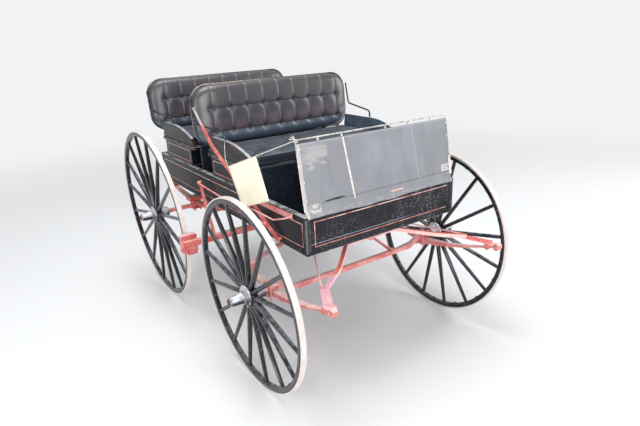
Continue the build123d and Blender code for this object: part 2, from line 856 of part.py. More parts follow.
with BuildPart() as hound_frame:
    with BuildSketch(Plane.XY.offset(hound_z)):
        with Locations((0, (bed_y0 + bed_back) / 2)):
            Rectangle(2 * bed_half_w, bed_back - bed_y0)
            Rectangle(2 * (bed_half_w - hound_w), bed_back - bed_y0 - 2 * hound_w, mode=Mode.SUBTRACT)
            Rectangle(bed_bar_w, bed_back - bed_y0 - hound_w)
    extrude(amount=hound_d)
    for side in (-1, 1):
        blade_root, along, inward = blade_frame(side)
        with BuildSketch(Plane(origin=blade_root, x_dir=along, z_dir=along.cross(Vector(0, 0, 1)))):
            with BuildLine():
                Polyline(
                    (-blade_toe, 0),
                    (blade_toe, 0),
                    (blade_len, blade_rise),
                    (blade_len, blade_rise + blade_t),
                    (blade_toe, blade_t),
                    (-blade_toe, blade_t),
                    close=True,
                )
            make_face()
        extrude(amount=blade_w / 2, both=True)
        beam_foot = blade_root + along * (blade_len - blade_lap) + inward * (blade_w - hound_w) / 2
        beam_lift = blade_slope * (blade_len - blade_lap) + blade_t - beam_sink
        beam_foot += Vector(0, 0, beam_lift + hound_d / 2)
        beam_root = Vector(side * (bed_half_w - hound_w / 2), bed_y0 + hound_w / 2, hound_z + hound_d / 2)
        run = beam_foot - beam_root
        bulge = Vector(-run.Y, run.X, 0).normalized() * (-side * beam_bulge)
        with BuildLine() as beam_path:
            FilletPolyline(
                beam_root, beam_root + run * beam_bend + bulge, beam_foot, radius=beam_bend_r
            )
        start_dir = beam_path.line % 0
        with BuildSketch(
            Plane(origin=beam_path.line @ 0, x_dir=(-start_dir.Y, start_dir.X, 0), z_dir=start_dir)
        ):
            Rectangle(hound_w, hound_d)
        sweep(path=beam_path.line)
    with Locations((0, front_y, hound_z)):
        Cylinder(king_r + pin_slack, 3 * hound_d, mode=Mode.SUBTRACT)
save(hound_frame, "hound_frame")

# Ends of the hound frame: a plate, cheeks and a pin round the side spring's front eye, and
# the bored eye that shafts or a pole are bolted to.
eye_centre_y = front_y - coupling_reach + coupling_eye_r
plate_y0 = eye_centre_y + coupling_eye_r / 2
plate_y1 = fore_eye[0] + cheek_half + clip_edge
with BuildPart() as hound_ends:
    for side in (-1, 1):
        with BuildSketch(Plane.XY.offset(end_plate_z)):
            with Locations((side * front_spring_x, (plate_y0 + plate_y1) / 2)):
                RectangleRounded(2 * (cheek_gap + cheek_t), plate_y1 - plate_y0, clip_edge)
        extrude(amount=clip_t)
        for cheek in (-1, 1):
            cheek_x = side * front_spring_x + cheek * (cheek_gap + cheek_t / 2)
            with BuildSketch(Plane.YZ.offset(cheek_x - cheek_t / 2)):
                with Locations(fore_eye):
                    Circle(cheek_half)
                with Locations((fore_eye[0], (fore_eye[1] + blade_z) / 2)):
                    Rectangle(2 * cheek_half, blade_z - fore_eye[1])
            extrude(amount=cheek_t)
        with BuildSketch(Plane.YZ.offset(side * front_spring_x - cheek_gap - cheek_t)):
            with Locations(fore_eye):
                Circle(pin_r)
        extrude(amount=2 * (cheek_gap + cheek_t))
        with BuildSketch(Plane.YZ.offset(side * coupling_x - coupling_w / 2)):
            with Locations((eye_centre_y, coupling_z)):
                Circle(coupling_eye_r)
            with Locations((eye_centre_y + coupling_w / 2, end_plate_z + clip_t / 2)):
                Rectangle(coupling_w, clip_t)
            with Locations((eye_centre_y, coupling_z)):
                Circle(coupling_bore_r, mode=Mode.SUBTRACT)
        extrude(amount=coupling_w)
save(hound_ends, "hound_ends")

# Fifth wheel: two steel rings, the upper one under the body's transom, on a king bolt.
lower_ring_z = hound_z + hound_d
upper_ring_z = lower_ring_z + plate_t + plate_gap
with BuildPart() as lower_fifth_wheel:
    with BuildSketch(Plane.XY.offset(lower_ring_z)):
        with Locations((0, front_y)):
            Circle(fifth_r)
            Circle(fifth_r - fifth_w, mode=Mode.SUBTRACT)
    extrude(amount=plate_t)
save(lower_fifth_wheel, "lower_fifth_wheel")

with BuildPart() as upper_fifth_wheel:
    with BuildSketch(Plane.XY.offset(upper_ring_z)):
        with Locations((0, front_y)):
            Circle(fifth_r)
            Circle(fifth_r - fifth_w, mode=Mode.SUBTRACT)
            Rectangle(2 * fifth_r - fifth_w, transom_w)
    extrude(amount=plate_t)
    with BuildSketch(Plane.XY.offset(upper_ring_z + plate_t)):
        with Locations((0, front_y)):
            Rectangle(2 * (fifth_r + transom_over), transom_w)
    extrude(amount=body_bottom_z - upper_ring_z - plate_t)
    with Locations((0, front_y, body_bottom_z)):
        Cylinder(
            king_r,
            body_bottom_z - upper_ring_z,
            align=(Align.CENTER, Align.CENTER, Align.MAX),
            mode=Mode.SUBTRACT,
        )
save(upper_fifth_wheel, "upper_fifth_wheel")

with BuildPart() as king_bolt:
    with BuildSketch(Plane.XY.offset(hound_z - king_tail)):
        with Locations((0, front_y)):
            Circle(king_r)
    extrude(amount=body_bottom_z - hound_z + king_tail)
    with BuildSketch(Plane.XY.offset(hound_z - king_nut_t - king_gap)):
        with Locations((0, front_y)):
            RegularPolygon(king_head_r, 6)
    extrude(amount=king_nut_t)
save(king_bolt, "king_bolt")

# Stays: on the left a flat strap that widens from the bed's front bar down to the axle, and
# on both sides a thin straight rod from the blade back to the bed.
strap_top = Vector(0, bed_y0 + hound_w / 2, hound_z - fit)
strap_foot_z = axle_z["front_axle"] - axle_drop + axle_bar / 2 + fit
strap_run = Vector(strap_reach, front_y - strap_top.Y, 0)
strap_end = strap_run.length + strap_toe / 2
strap_fall = strap_top.Z - strap_foot_z - strap_t
with BuildPart() as hound_stays:
    with BuildSketch(Plane(origin=strap_top, x_dir=strap_run, z_dir=strap_run.cross(Vector(0, 0, 1)))):
        with BuildLine():
            Polyline(
                (-strap_toe, -strap_t),
                (strap_toe, -strap_t),
                (strap_end - 1.5 * strap_toe, -strap_fall - strap_t),
                (strap_end, -strap_fall - strap_t),
                (strap_end, -strap_fall),
                (strap_end - 1.5 * strap_toe, -strap_fall),
                (strap_toe, 0),
                (-strap_toe, 0),
                close=True,
            )
        make_face()
    extrude(amount=strap_foot_w / 2, both=True)
    with BuildSketch(Plane(origin=strap_top, x_dir=strap_run, z_dir=(0, 0, 1))):
        with BuildLine():
            Polyline(
                (-strap_toe, -strap_root_w / 2),
                (strap_end, -strap_foot_w / 2),
                (strap_end, strap_foot_w / 2),
                (-strap_toe, strap_root_w / 2),
                close=True,
            )
        make_face()
    extrude(amount=-strap_fall - 2 * strap_t, mode=Mode.INTERSECT)
    for side in (-1, 1):
        blade_root, along, inward = blade_frame(side)
        rod_foot = blade_root + along * (blade_len - blade_lap) - inward * (blade_w / 2 - 2 * stay_r)
        rod_foot += Vector(0, 0, blade_slope * (blade_len - blade_lap) + blade_t + stay_r + 3 * fit)
        rod_end = Vector(
            side * (bed_half_w + stay_r + fit), bed_back - stay_inset, hound_z + hound_d / 2
        )
        rod_run = rod_end - rod_foot
        with BuildSketch(Plane(origin=rod_foot, z_dir=rod_run.normalized())):
            Circle(stay_r)
        extrude(amount=rod_run.length)
save(hound_stays, "hound_stays")

# Brake: a hand lever on the right side, a ratchet, a pull rod, a rocker and two shoes.
body_face = body_half_w + bead_r
lever_root = Vector(-(body_face + lever_gap + lever_t), lever_foot_y, lever_foot_z)
lever_tip_x = -(back_half_w + 2 * iron_r + lever_clear + grip_knob_r)
lever_tip = Vector(lever_tip_x, lever_top_y, lever_top_z)
lever_chord = (lever_tip - lever_root).normalized()
lever_len = (lever_tip - lever_root).length
lever_inward = lever_chord.cross(lever_chord.cross(Vector(-1, 0, 0)).normalized())
lever_plane = Plane(origin=lever_root, x_dir=lever_chord, z_dir=lever_inward)
knee_at = Vector(lever_knee * lever_len, -lever_bow)
tip_at = Vector(lever_len, 0)
lower_run = knee_at.normalized()
upper_run = (tip_at - knee_at).normalized()
blade_end = tip_at - upper_run * grip_len
lower_side = Vector(-lower_run.Y, lower_run.X)
upper_side = Vector(-upper_run.Y, upper_run.X)
knee_w = lever_w + (lever_tip_w - lever_w) * lever_knee
with BuildPart() as brake_lever:
    with BuildSketch(lever_plane):
        with BuildLine():
            rear_edge, fore_edge = [
                FilletPolyline(
                    lower_side * (way * lever_w / 2),
                    knee_at + (lower_side + upper_side).normalized() * (way * knee_w / 2),
                    blade_end + upper_side * (way * lever_tip_w / 2),
                    radius=lever_knee_r,
                )
                for way in (-1, 1)
            ]
            Line(rear_edge @ 0, fore_edge @ 0)
            Line(rear_edge @ 1, fore_edge @ 1)
        make_face()
        Circle(lever_w / 2)
    extrude(amount=lever_t)
    grip_root = lever_plane.from_local_coords(blade_end - upper_run * grip_r + Vector(0, 0, lever_t / 2))
    grip_top = lever_plane.from_local_coords(tip_at - upper_run * grip_r + Vector(0, 0, lever_t / 2))
    with BuildSketch(Plane(origin=grip_root, z_dir=(grip_top - grip_root).normalized())):
        Circle(grip_r)
    extrude(amount=grip_len)
    with Locations(grip_top):
        Sphere(grip_knob_r)
    with BuildSketch(Plane.YZ.offset(lever_root.X)):
        with Locations((lever_foot_y, lever_foot_z)):
            Circle(lever_pin_r)
    extrude(amount=-lever_root.X - body_half_w)
save(brake_lever, "brake_lever")
lower_dir = (lever_plane.from_local_coords(knee_at) - lever_root).normalized()

# Ratchet: a toothed bar on bosses beside the body, with a guard rod outside the lever.
ratchet_y0 = front_y - ratchet_fwd
ratchet_y1 = front_y + ratchet_aft
tooth_pitch = (ratchet_y1 - ratchet_y0 - 2 * ratchet_end) / ratchet_teeth
lever_at_ratchet = lower_dir.X * (ratchet_z - lever_foot_z) / lower_dir.Z
guard_x = lever_root.X + lever_at_ratchet - guard_r - guard_clear
with BuildPart() as brake_ratchet:
    with BuildSketch(Plane.YZ.offset(-body_face - ratchet_t)):
        with Locations(((ratchet_y0 + ratchet_y1) / 2, ratchet_z)):
            Rectangle(ratchet_y1 - ratchet_y0, ratchet_h)
        for tooth in range(ratchet_teeth):
            tooth_y = ratchet_y0 + ratchet_end + tooth * tooth_pitch
            tooth_top = ratchet_z + ratchet_h / 2
            with BuildLine():
                Polyline(
                    (tooth_y, tooth_top + fit),
                    (tooth_y + tooth_pitch * tooth_share, tooth_top + fit),
                    (tooth_y + tooth_pitch * tooth_share, tooth_top - tooth_h),
                    close=True,
                )
            make_face(mode=Mode.SUBTRACT)
    extrude(amount=ratchet_t - fit)
    with BuildSketch(Plane.YZ.offset(-body_face - fit)):
        for boss_share in ratchet_boss_shares:
            boss_y = ratchet_y0 + boss_share * (ratchet_y1 - ratchet_y0)
            with Locations((boss_y, ratchet_z - ratchet_boss_drop)):
                Circle(ratchet_boss_r)
    extrude(amount=bead_r + fit)
    with BuildLine() as guard_path:
        FilletPolyline(
            (-body_face - ratchet_t / 2, ratchet_y0 + guard_r, ratchet_z),
            (guard_x, ratchet_y0 + guard_r, ratchet_z),
            (guard_x, ratchet_y0 + guard_share * (ratchet_y1 - ratchet_y0), ratchet_z - guard_drop),
            (guard_x, ratchet_y1 - guard_r, ratchet_z - guard_drop),
            (-body_face - ratchet_t / 2, ratchet_y1 - guard_r, ratchet_z - 4),
            radius=guard_bend_r,
        )
    with BuildSketch(Plane(origin=guard_path.line @ 0, z_dir=guard_path.line % 0)):
        Circle(guard_r)
    sweep(path=guard_path.line)
save(brake_ratchet, "brake_ratchet")

# Pull rod from the lever back to the knob of the rocker arm, with an eye at each end.
rocker_x = body_half_w + rocker_out
rod_root = lever_root + lower_dir * (rod_share * lever_len)
rod_out = rod_eye_t / 2 + 2 * fit - rod_eye_r * lower_dir.X
rod_root = Vector(rod_root.X - rod_out, rod_root.Y, rod_root.Z)
rod_tip = Vector(-(rocker_x + (arm_t + rod_eye_t) / 2 + fit), knob_y, knob_z)
with BuildPart() as brake_rod:
    with BuildSketch(Plane(origin=rod_root, z_dir=(rod_tip - rod_root).normalized())):
        Circle(rod_r)
    extrude(amount=(rod_tip - rod_root).length)
    for eye_at in (rod_root, rod_tip):
        with BuildSketch(Plane.YZ.offset(eye_at.X - rod_eye_t / 2)):
            with Locations((eye_at.Y, eye_at.Z)):
                Circle(rod_eye_r)
        extrude(amount=rod_eye_t)
save(brake_rod, "brake_rod")

# Rocker: a shaft across under the body, an arm up to the knob, two arms down and a beam.
shoe_y = rear_y - rear_wheel_r - shoe_gap - shoe_t
beam_y = shoe_y - beam_d / 2
beam_z = shoe_z - shoe_h / 2 + nose_h + beam_gap + beam_h / 2
shoe_x = track / 2 + rear_wheel_r * lean_x
with BuildPart() as brake_rocker:
    with BuildSketch(Plane.YZ.offset(-rocker_x - arm_t / 2)):
        with Locations((rocker_y, rocker_z)):
            Circle(rocker_r)
    extrude(amount=2 * rocker_x + arm_t)
    for side in (-1, 1):
        with BuildSketch(Plane.YZ.offset(side * rocker_x - arm_t / 2)):
            with BuildLine():
                Polyline(
                    (rocker_y - rocker_arm_r, rocker_z),
                    (beam_y - arm_t, beam_z + arm_t),
                    (beam_y + arm_t, beam_z + arm_t),
                    (rocker_y + rocker_arm_r, rocker_z),
                    close=True,
                )
            make_face()
            with Locations((rocker_y, rocker_z)):
                Circle(rocker_r + rocker_wall)
            if side < 0:
                with BuildLine():
                    Polyline(
                        (rocker_y - rocker_arm_r, rocker_z),
                        (knob_y - knob_neck, knob_z),
                        (knob_y + knob_neck, knob_z),
                        (rocker_y + rocker_arm_r, rocker_z),
                        close=True,
                    )
                make_face()
                with Locations((knob_y, knob_z)):
                    Circle(knob_r)
        extrude(amount=arm_t)
    with BuildSketch(Plane.YZ.offset(-shoe_x - shoe_w / 2)):
        with Locations((beam_y, beam_z)):
            RectangleRounded(beam_d, beam_h, beam_corner)
    extrude(amount=2 * shoe_x + shoe_w)
save(brake_rocker, "brake_rocker")

with BuildPart() as rocker_brackets:
    for side in (-1, 1):
        with BuildSketch(Plane.YZ.offset(side * rear_spring_x - bracket_w / 2)):
            with Locations((rocker_y, rocker_z)):
                Circle(rocker_r + rocker_wall)
            with Locations((rocker_y, (rocker_z + body_bottom_z) / 2)):
                Rectangle(2 * (rocker_r + rocker_wall), body_bottom_z - rocker_z)
            with Locations((rocker_y, rocker_z)):
                Circle(rocker_r + pin_slack, mode=Mode.SUBTRACT)
        extrude(amount=bracket_w)
save(rocker_brackets, "rocker_brackets")

with BuildPart() as brake_shoes:
    for side in (-1, 1):
        with BuildSketch(Plane.XZ.offset(-shoe_y)):
            with Locations((side * shoe_x, shoe_z)):
                RectangleRounded(shoe_w, shoe_h, shoe_corner)
        extrude(amount=-shoe_t - shoe_bed)
        with BuildSketch(Plane.XZ.offset(-shoe_y)):
            with Locations((side * shoe_x, shoe_z - (shoe_h - nose_h) / 2)):
                RectangleRounded(nose_w, nose_h, shoe_corner)
        extrude(amount=nose_len)
        centre, outward, upward = wheel_frame(side, rear_wheel_r, rear_y)
        with BuildSketch(Plane(origin=centre, z_dir=outward)):
            Circle(rear_wheel_r + shoe_gap)
        extrude(amount=shoe_w, both=True, mode=Mode.SUBTRACT)
save(brake_shoes, "brake_shoes")
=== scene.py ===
import json
from math import cos, exp, hypot, pi, radians, sin, sqrt

import bmesh
import bpy
from mathutils import Matrix, Vector
from mathutils.bvhtree import BVHTree


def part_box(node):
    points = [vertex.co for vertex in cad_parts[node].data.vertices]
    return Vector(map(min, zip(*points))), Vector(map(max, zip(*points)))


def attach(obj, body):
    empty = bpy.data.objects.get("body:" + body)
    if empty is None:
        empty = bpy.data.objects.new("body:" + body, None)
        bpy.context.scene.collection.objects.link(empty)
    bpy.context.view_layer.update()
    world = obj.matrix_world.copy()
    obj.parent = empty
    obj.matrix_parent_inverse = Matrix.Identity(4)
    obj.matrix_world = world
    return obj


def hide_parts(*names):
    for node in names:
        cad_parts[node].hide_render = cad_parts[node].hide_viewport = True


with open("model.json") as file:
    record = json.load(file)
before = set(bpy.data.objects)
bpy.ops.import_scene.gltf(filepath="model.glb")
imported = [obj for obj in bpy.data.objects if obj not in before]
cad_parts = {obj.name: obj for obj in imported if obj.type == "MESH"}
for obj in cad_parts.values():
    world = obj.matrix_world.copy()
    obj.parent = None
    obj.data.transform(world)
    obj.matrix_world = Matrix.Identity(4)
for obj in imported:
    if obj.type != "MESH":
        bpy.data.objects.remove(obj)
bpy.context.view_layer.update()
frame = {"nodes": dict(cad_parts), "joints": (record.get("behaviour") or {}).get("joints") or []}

# Camera: a person's eye height, at the wagon's right front corner, looking down a little at
# the seats. It is a plain 36 mm wide picture with no shift.
camera_spot = Vector((-1.6614, -2.8016, 1.7235))
looking_back = Vector((-0.5319, -0.7806, 0.3283)).normalized()
camera_right = Vector((0.2213, 0.2461, 0.9437)).cross(looking_back).normalized()
camera_up = looking_back.cross(camera_right)
camera_data = bpy.data.cameras.new("camera")
camera_data.sensor_width = 36.0
camera_data.lens = 29.03
camera = bpy.data.objects.new("camera", camera_data)
turned = Matrix((camera_right, camera_up, looking_back)).transposed().to_4x4()
camera.matrix_world = Matrix.Translation(camera_spot) @ turned
bpy.context.scene.collection.objects.link(camera)
bpy.context.scene.camera = camera
bpy.context.scene.view_settings.view_transform = "Standard"

# Studio: a pale plain floor that runs out into white, a wide soft window in front of the wagon,
# a weaker one from its left, a ceiling light over the seats and a tall narrow light on the right
# that draws bright lines along the spokes and the leather's rolls.
lamp_table = (
    # name, place, aimed at, width, height, strength
    ("front_window", (-1.7, -6.1, 2.3), (0.0, -0.4, 0.9), 3.2, 3.2, 185.0),
    ("left_window", (5.2, -2.2, 2.6), (0.0, 0.2, 0.8), 3.0, 3.0, 120.0),
    ("ceiling", (-0.6, 0.3, 5.0), (0.0, 0.0, 0.8), 3.0, 3.0, 150.0),
    ("right_strip", (-4.4, -2.0, 1.8), (0.0, -0.2, 0.8), 0.55, 3.0, 62.0),
)
for lamp_name, place, aim, width, height, strength in lamp_table:
    lamp_data = bpy.data.lights.new(lamp_name, "AREA")
    lamp_data.shape = "RECTANGLE"
    lamp_data.size = width
    lamp_data.size_y = height
    lamp_data.energy = strength
    lamp = bpy.data.objects.new(lamp_name, lamp_data)
    lamp.location = place
    lamp.rotation_mode = "QUATERNION"
    lamp.rotation_quaternion = (Vector(aim) - Vector(place)).to_track_quat("-Z", "Y")
    bpy.context.scene.collection.objects.link(lamp)

paper_white = (0.88, 0.89, 0.90, 1.0)
world = bpy.data.worlds.new("studio")
world.use_nodes = True
bpy.context.scene.world = world
air = world.node_tree
soft_light = air.nodes["Background"]
soft_light.inputs["Color"].default_value = (0.96, 0.98, 1.0, 1.0)
soft_light.inputs["Strength"].default_value = 0.55
white_light = air.nodes.new("ShaderNodeBackground")
white_light.inputs["Color"].default_value = paper_white
ray = air.nodes.new("ShaderNodeLightPath")
seen = air.nodes.new("ShaderNodeMath")
seen.operation = "MAXIMUM"
air.links.new(ray.outputs["Is Camera Ray"], seen.inputs[0])
air.links.new(ray.outputs["Is Transmission Ray"], seen.inputs[1])
either = air.nodes.new("ShaderNodeMixShader")
air.links.new(seen.outputs[0], either.inputs[0])
air.links.new(soft_light.outputs[0], either.inputs[1])
air.links.new(white_light.outputs[0], either.inputs[2])
air.links.new(either.outputs[0], air.nodes["World Output"].inputs["Surface"])

floor_reach = 60.0
floor_mesh = bpy.data.meshes.new("studio_floor")
floor_mesh.from_pydata(
    [(sx * floor_reach, sy * floor_reach, 0.0) for sx, sy in ((-1, -1), (1, -1), (1, 1), (-1, 1))],
    [],
    [(0, 1, 2, 3)],
)
studio_floor = bpy.data.objects.new("studio_floor", floor_mesh)
bpy.context.scene.collection.objects.link(studio_floor)
floor_paint = bpy.data.materials.new("studio_floor")
floor_paint.use_nodes = True
ground = floor_paint.node_tree
matt = ground.nodes["Principled BSDF"]
matt.inputs["Base Color"].default_value = (0.80, 0.81, 0.82, 1.0)
matt.inputs["Roughness"].default_value = 0.95
glow = ground.nodes.new("ShaderNodeEmission")
glow.inputs["Color"].default_value = paper_white
spot = ground.nodes.new("ShaderNodeTexCoord")
reach = ground.nodes.new("ShaderNodeVectorMath")
reach.operation = "LENGTH"
ground.links.new(spot.outputs["Object"], reach.inputs[0])
fade = ground.nodes.new("ShaderNodeMapRange")
fade.interpolation_type = "SMOOTHSTEP"
fade.inputs["From Min"].default_value = 1.6
fade.inputs["From Max"].default_value = 7.5
ground.links.new(reach.outputs["Value"], fade.inputs["Value"])
far_floor = ground.nodes.new("ShaderNodeMixShader")
ground.links.new(fade.outputs[0], far_floor.inputs[0])
ground.links.new(matt.outputs[0], far_floor.inputs[1])
ground.links.new(glow.outputs[0], far_floor.inputs[2])
ground.links.new(far_floor.outputs[0], ground.nodes["Material Output"].inputs["Surface"])
floor_mesh.materials.append(floor_paint)

# Tyres: flat steel bands shrunk on hot, worn pale on the tread, with a thin pinkish rust film
# and road dust. The solids are turned bands already, so they only get their finish.


class Field:
    """A number that varies over a surface; sums, products and steps of it are Math nodes."""

    def __init__(self, tree, socket):
        self.tree = tree
        self.socket = socket

    def math(self, operation, *others):
        node = self.tree.nodes.new("ShaderNodeMath")
        node.operation = operation
        for place, value in enumerate((self, *others)):
            if isinstance(value, Field):
                self.tree.links.new(value.socket, node.inputs[place])
            else:
                node.inputs[place].default_value = value
        return Field(self.tree, node.outputs[0])

    def __add__(self, other):
        return self.math("ADD", other)

    def __sub__(self, other):
        return self.math("SUBTRACT", other)

    def __mul__(self, other):
        return self.math("MULTIPLY", other)

    def __abs__(self):
        return self.math("ABSOLUTE")

    def most(self, other):
        return self.math("MAXIMUM", other)

    def ramp(self, low, high):
        """0 below low and 1 above high, or the other way round where low is the larger."""
        node = self.tree.nodes.new("ShaderNodeMapRange")
        node.interpolation_type = "SMOOTHSTEP"
        backwards = low > high
        node.inputs["From Min"].default_value = min(low, high)
        node.inputs["From Max"].default_value = max(low, high)
        node.inputs["To Min"].default_value = 1.0 if backwards else 0.0
        node.inputs["To Max"].default_value = 0.0 if backwards else 1.0
        self.tree.links.new(self.socket, node.inputs["Value"])
        return Field(self.tree, node.outputs["Result"])


def colour(code):
    """Linear colour of a written one."""
    parts = [int(code[place:place + 2], 16) / 255 for place in (0, 2, 4)]
    linear = [p / 12.92 if p < 0.04045 else ((p + 0.055) / 1.055) ** 2.4 for p in parts]
    return (*linear, 1.0)


def new_finish(name, roughness, metallic=0.0):
    """A material, its node tree and its surface shader."""
    material = bpy.data.materials.new(name)
    material.use_nodes = True
    shader = material.node_tree.nodes["Principled BSDF"]
    shader.inputs["Roughness"].default_value = roughness
    shader.inputs["Metallic"].default_value = metallic
    return material, material.node_tree, shader


def spot_fields(tree, output="Object"):
    """The place on the wagon in metres (or its facing, for "Normal"), as three fields."""
    coordinates = tree.nodes.new("ShaderNodeTexCoord")
    split = tree.nodes.new("ShaderNodeSeparateXYZ")
    tree.links.new(coordinates.outputs[output], split.inputs[0])
    return [Field(tree, split.outputs[axis]) for axis in range(3)]


def cloud(tree, scale, low, high, detail=6.0, stretch=(1, 1, 1), shift=0.0):
    """Uneven patches: 0 where the noise is below low, 1 where it is above high."""
    coordinates = tree.nodes.new("ShaderNodeTexCoord")
    mapping = tree.nodes.new("ShaderNodeMapping")
    mapping.inputs["Scale"].default_value = stretch
    mapping.inputs["Location"].default_value = (shift, shift, shift)
    tree.links.new(coordinates.outputs["Object"], mapping.inputs["Vector"])
    texture = tree.nodes.new("ShaderNodeTexNoise")
    texture.inputs["Scale"].default_value = scale
    texture.inputs["Detail"].default_value = detail
    tree.links.new(mapping.outputs[0], texture.inputs["Vector"])
    return Field(tree, texture.outputs["Fac"]).ramp(low, high)


def paint_over(tree, shader, base, *coats):
    """Colours the surface: each coat is a mask and the colour it shows where the mask is 1.

    Colours are written codes, such as "a5a8b0".
    """
    under = None
    for mask, over in coats:
        node = tree.nodes.new("ShaderNodeMix")
        node.data_type = "RGBA"
        if under is None:
            node.inputs[6].default_value = colour(base)
        else:
            tree.links.new(under, node.inputs[6])
        node.inputs[7].default_value = colour(over)
        tree.links.new(mask.socket, node.inputs[0])
        under = node.outputs[2]
    tree.links.new(under, shader.inputs["Base Color"])


def raise_by(tree, shader, height, distance):
    """Bumps the surface by a field whose 1 stands that many metres high."""
    node = tree.nodes.new("ShaderNodeBump")
    node.inputs["Distance"].default_value = distance
    tree.links.new(height.socket, node.inputs["Height"])
    tree.links.new(node.outputs[0], shader.inputs["Normal"])


def dress(names, material):
    """Gives solids of the frame their finish."""
    for name in names:
        slots = frame["nodes"][name].data.materials
        slots.clear()
        slots.append(material)


wheel_names = ("front_right", "front_left", "rear_right", "rear_left")
steel, tree, shader = new_finish("tyre_steel", 0.5, 0.1)
scuffs = cloud(tree, 40.0, 0.30, 0.70)
pits = cloud(tree, 140.0, 0.52, 0.70, shift=3.0)
paint_over(
    tree, shader, "d6cac6",
    (scuffs, "e4dad5"),
    (pits * 0.30, "b3958c"),
)
raise_by(tree, shader, pits * -1.0 + scuffs * 0.4, 0.0005)
dress([f"{name}_tyre" for name in wheel_names], steel)

# Spokes and felloes: ash and hickory under worn black carriage paint, grey along the edges where it has
# rubbed thin, with a painted blue-grey sheen on the faces that look outward and a nut on the felloe's
# inside between each pair of spokes.
spoke_count = 16
tyre_t = 0.007
felloe_d = 0.029
dish = 0.014
black_wood, tree, shader = new_finish("wheel_wood", 0.30)
shader.inputs["Specular IOR Level"].default_value = 0.25
shader.inputs["Coat Weight"].default_value = 0.45
shader.inputs["Coat Roughness"].default_value = 0.12
facing = spot_fields(tree, "Normal")
place = spot_fields(tree)
rubbed = cloud(tree, 44.0, 0.55, 0.72)
grime = cloud(tree, 11.0, 0.50, 0.74, shift=7.0)
grain = cloud(tree, 190.0, 0.30, 0.75, shift=2.0)
chalked = facing[2].ramp(0.45, 0.95) * cloud(tree, 28.0, 0.36, 0.60, shift=4.0)
# Painted sheen: a blue-grey tint on the faces that look outward from the wagon's middle.
painted_sheen = (facing[0] * place[0]).ramp(0.10, 0.60)
paint_over(
    tree, shader, "0d0e13",
    (grime * 0.15, "2b2a2f"),
    (painted_sheen * 0.08, "3a4250"),
    (rubbed * 0.08, "6d7078"),
    (cloud(tree, 105.0, 0.675, 0.700, detail=2.0, shift=9.0) * 0.45, "b4b8bf"),
    (chalked * 0.40, "a3a9b2"),
)
raise_by(tree, shader, grain + rubbed * -0.8, 0.0003)
dress([f"{name}_spokes" for name in wheel_names], black_wood)


def join_rows(mesh, rows, closed=False):
    """Faces between each row of points and the next; a closed row runs round to its start."""
    for here, there in zip(rows, rows[1:]):
        for place in range(len(here) if closed else len(here) - 1):
            after = (place + 1) % len(here)
            mesh.faces.new((here[place], here[after], there[after], there[place]))


def stud(mesh, at, axis, radius, height, sides=6, crown=False):
    """A nut, or a rivet head where it has many sides and a crown."""
    facing = axis.normalized().to_track_quat("Z", "Y").to_matrix()
    rings = []
    levels = [(0.0, 1.0), (height * 0.8, 1.0), (height, 0.82)]
    if crown:
        levels = [(height * sin(step), cos(step)) for step in (0.0, 0.5, 0.95, 1.3)]
    for level, share in levels:
        ring = [
            mesh.verts.new(at + facing @ Vector((
                radius * share * cos(2 * pi * side / sides),
                radius * share * sin(2 * pi * side / sides),
                level,
            )))
            for side in range(sides)
        ]
        rings.append(ring)
    join_rows(mesh, rings, closed=True)
    mesh.faces.new(rings[-1])
    mesh.faces.new(rings[0][::-1])


def put_on(name, mesh, material, body, smooth=True):
    """Turns a finished mesh into a piece that rides on a body."""
    bmesh.ops.recalc_face_normals(mesh, faces=mesh.faces)
    data = bpy.data.meshes.new(name)
    mesh.to_mesh(data)
    mesh.free()
    data.materials.append(material)
    for polygon in data.polygons:
        polygon.use_smooth = smooth
    piece = bpy.data.objects.new(name, data)
    bpy.context.scene.collection.objects.link(piece)
    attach(piece, body)
    return piece


drawn_in = 0.0007
wheel_table = {}
for joint in frame["joints"]:
    if joint["name"].endswith("_turn"):
        wheel_name = joint["name"][:-len("_turn")]
        outward = Vector(joint["axis"])
        upward = Vector((0.0, 1.0, 0.0)).cross(outward).normalized()
        if upward.z < 0:
            upward.negate()
        low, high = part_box(f"{wheel_name}_tyre")
        wheel_table[wheel_name] = (
            Vector(joint["pos_m"]), outward, upward, (high.y - low.y) / 2 - drawn_in
        )


def wear_and_glint_finish(name, roughness, metallic, base, patches, share, over, lift):
    """One colour, worn to another in patches that stand a little proud; on the buttons the patches are
    painted highlights.

    patches is the scale, low and high of their cloud; lift is how far they stand.
    """
    material, tree, shader = new_finish(name, roughness, metallic)
    worn = cloud(tree, *patches)
    paint_over(tree, shader, base, (worn * share, over))
    raise_by(tree, shader, worn, lift)
    return material


iron_dark = wear_and_glint_finish("iron_dark", 0.48, 0.4, "2b2a2d", (60.0, 0.45, 0.68), 0.7, "77757a", 0.0004)
nut_sunk = 0.001
nut_r, nut_h = 0.0065, 0.006
for wheel_name, (centre, outward, upward, radius) in wheel_table.items():
    nuts = bmesh.new()
    seat_r = radius - tyre_t - felloe_d
    for index in range(spoke_count):
        turn = 2 * pi * index / spoke_count
        ray = Matrix.Rotation(turn, 3, outward) @ upward
        stud(nuts, centre + ray * (seat_r + nut_sunk), -ray, nut_r, nut_h)
    put_on(f"{wheel_name}_felloe_nuts", nuts, iron_dark, f"{wheel_name}_wheel")

# Hubs: cast iron with a long tapered nose and two flanges that clamp the roots of the spokes
# under a ring of bolts, with a hexagon cap on the nose, rusted pink round its rim.
hub_iron, tree, shader = new_finish("hub_iron", 0.36, 0.35)
facing = spot_fields(tree, "Normal")
worn = cloud(tree, 40.0, 0.40, 0.66)
rust = cloud(tree, 26.0, 0.58, 0.72, shift=5.0)
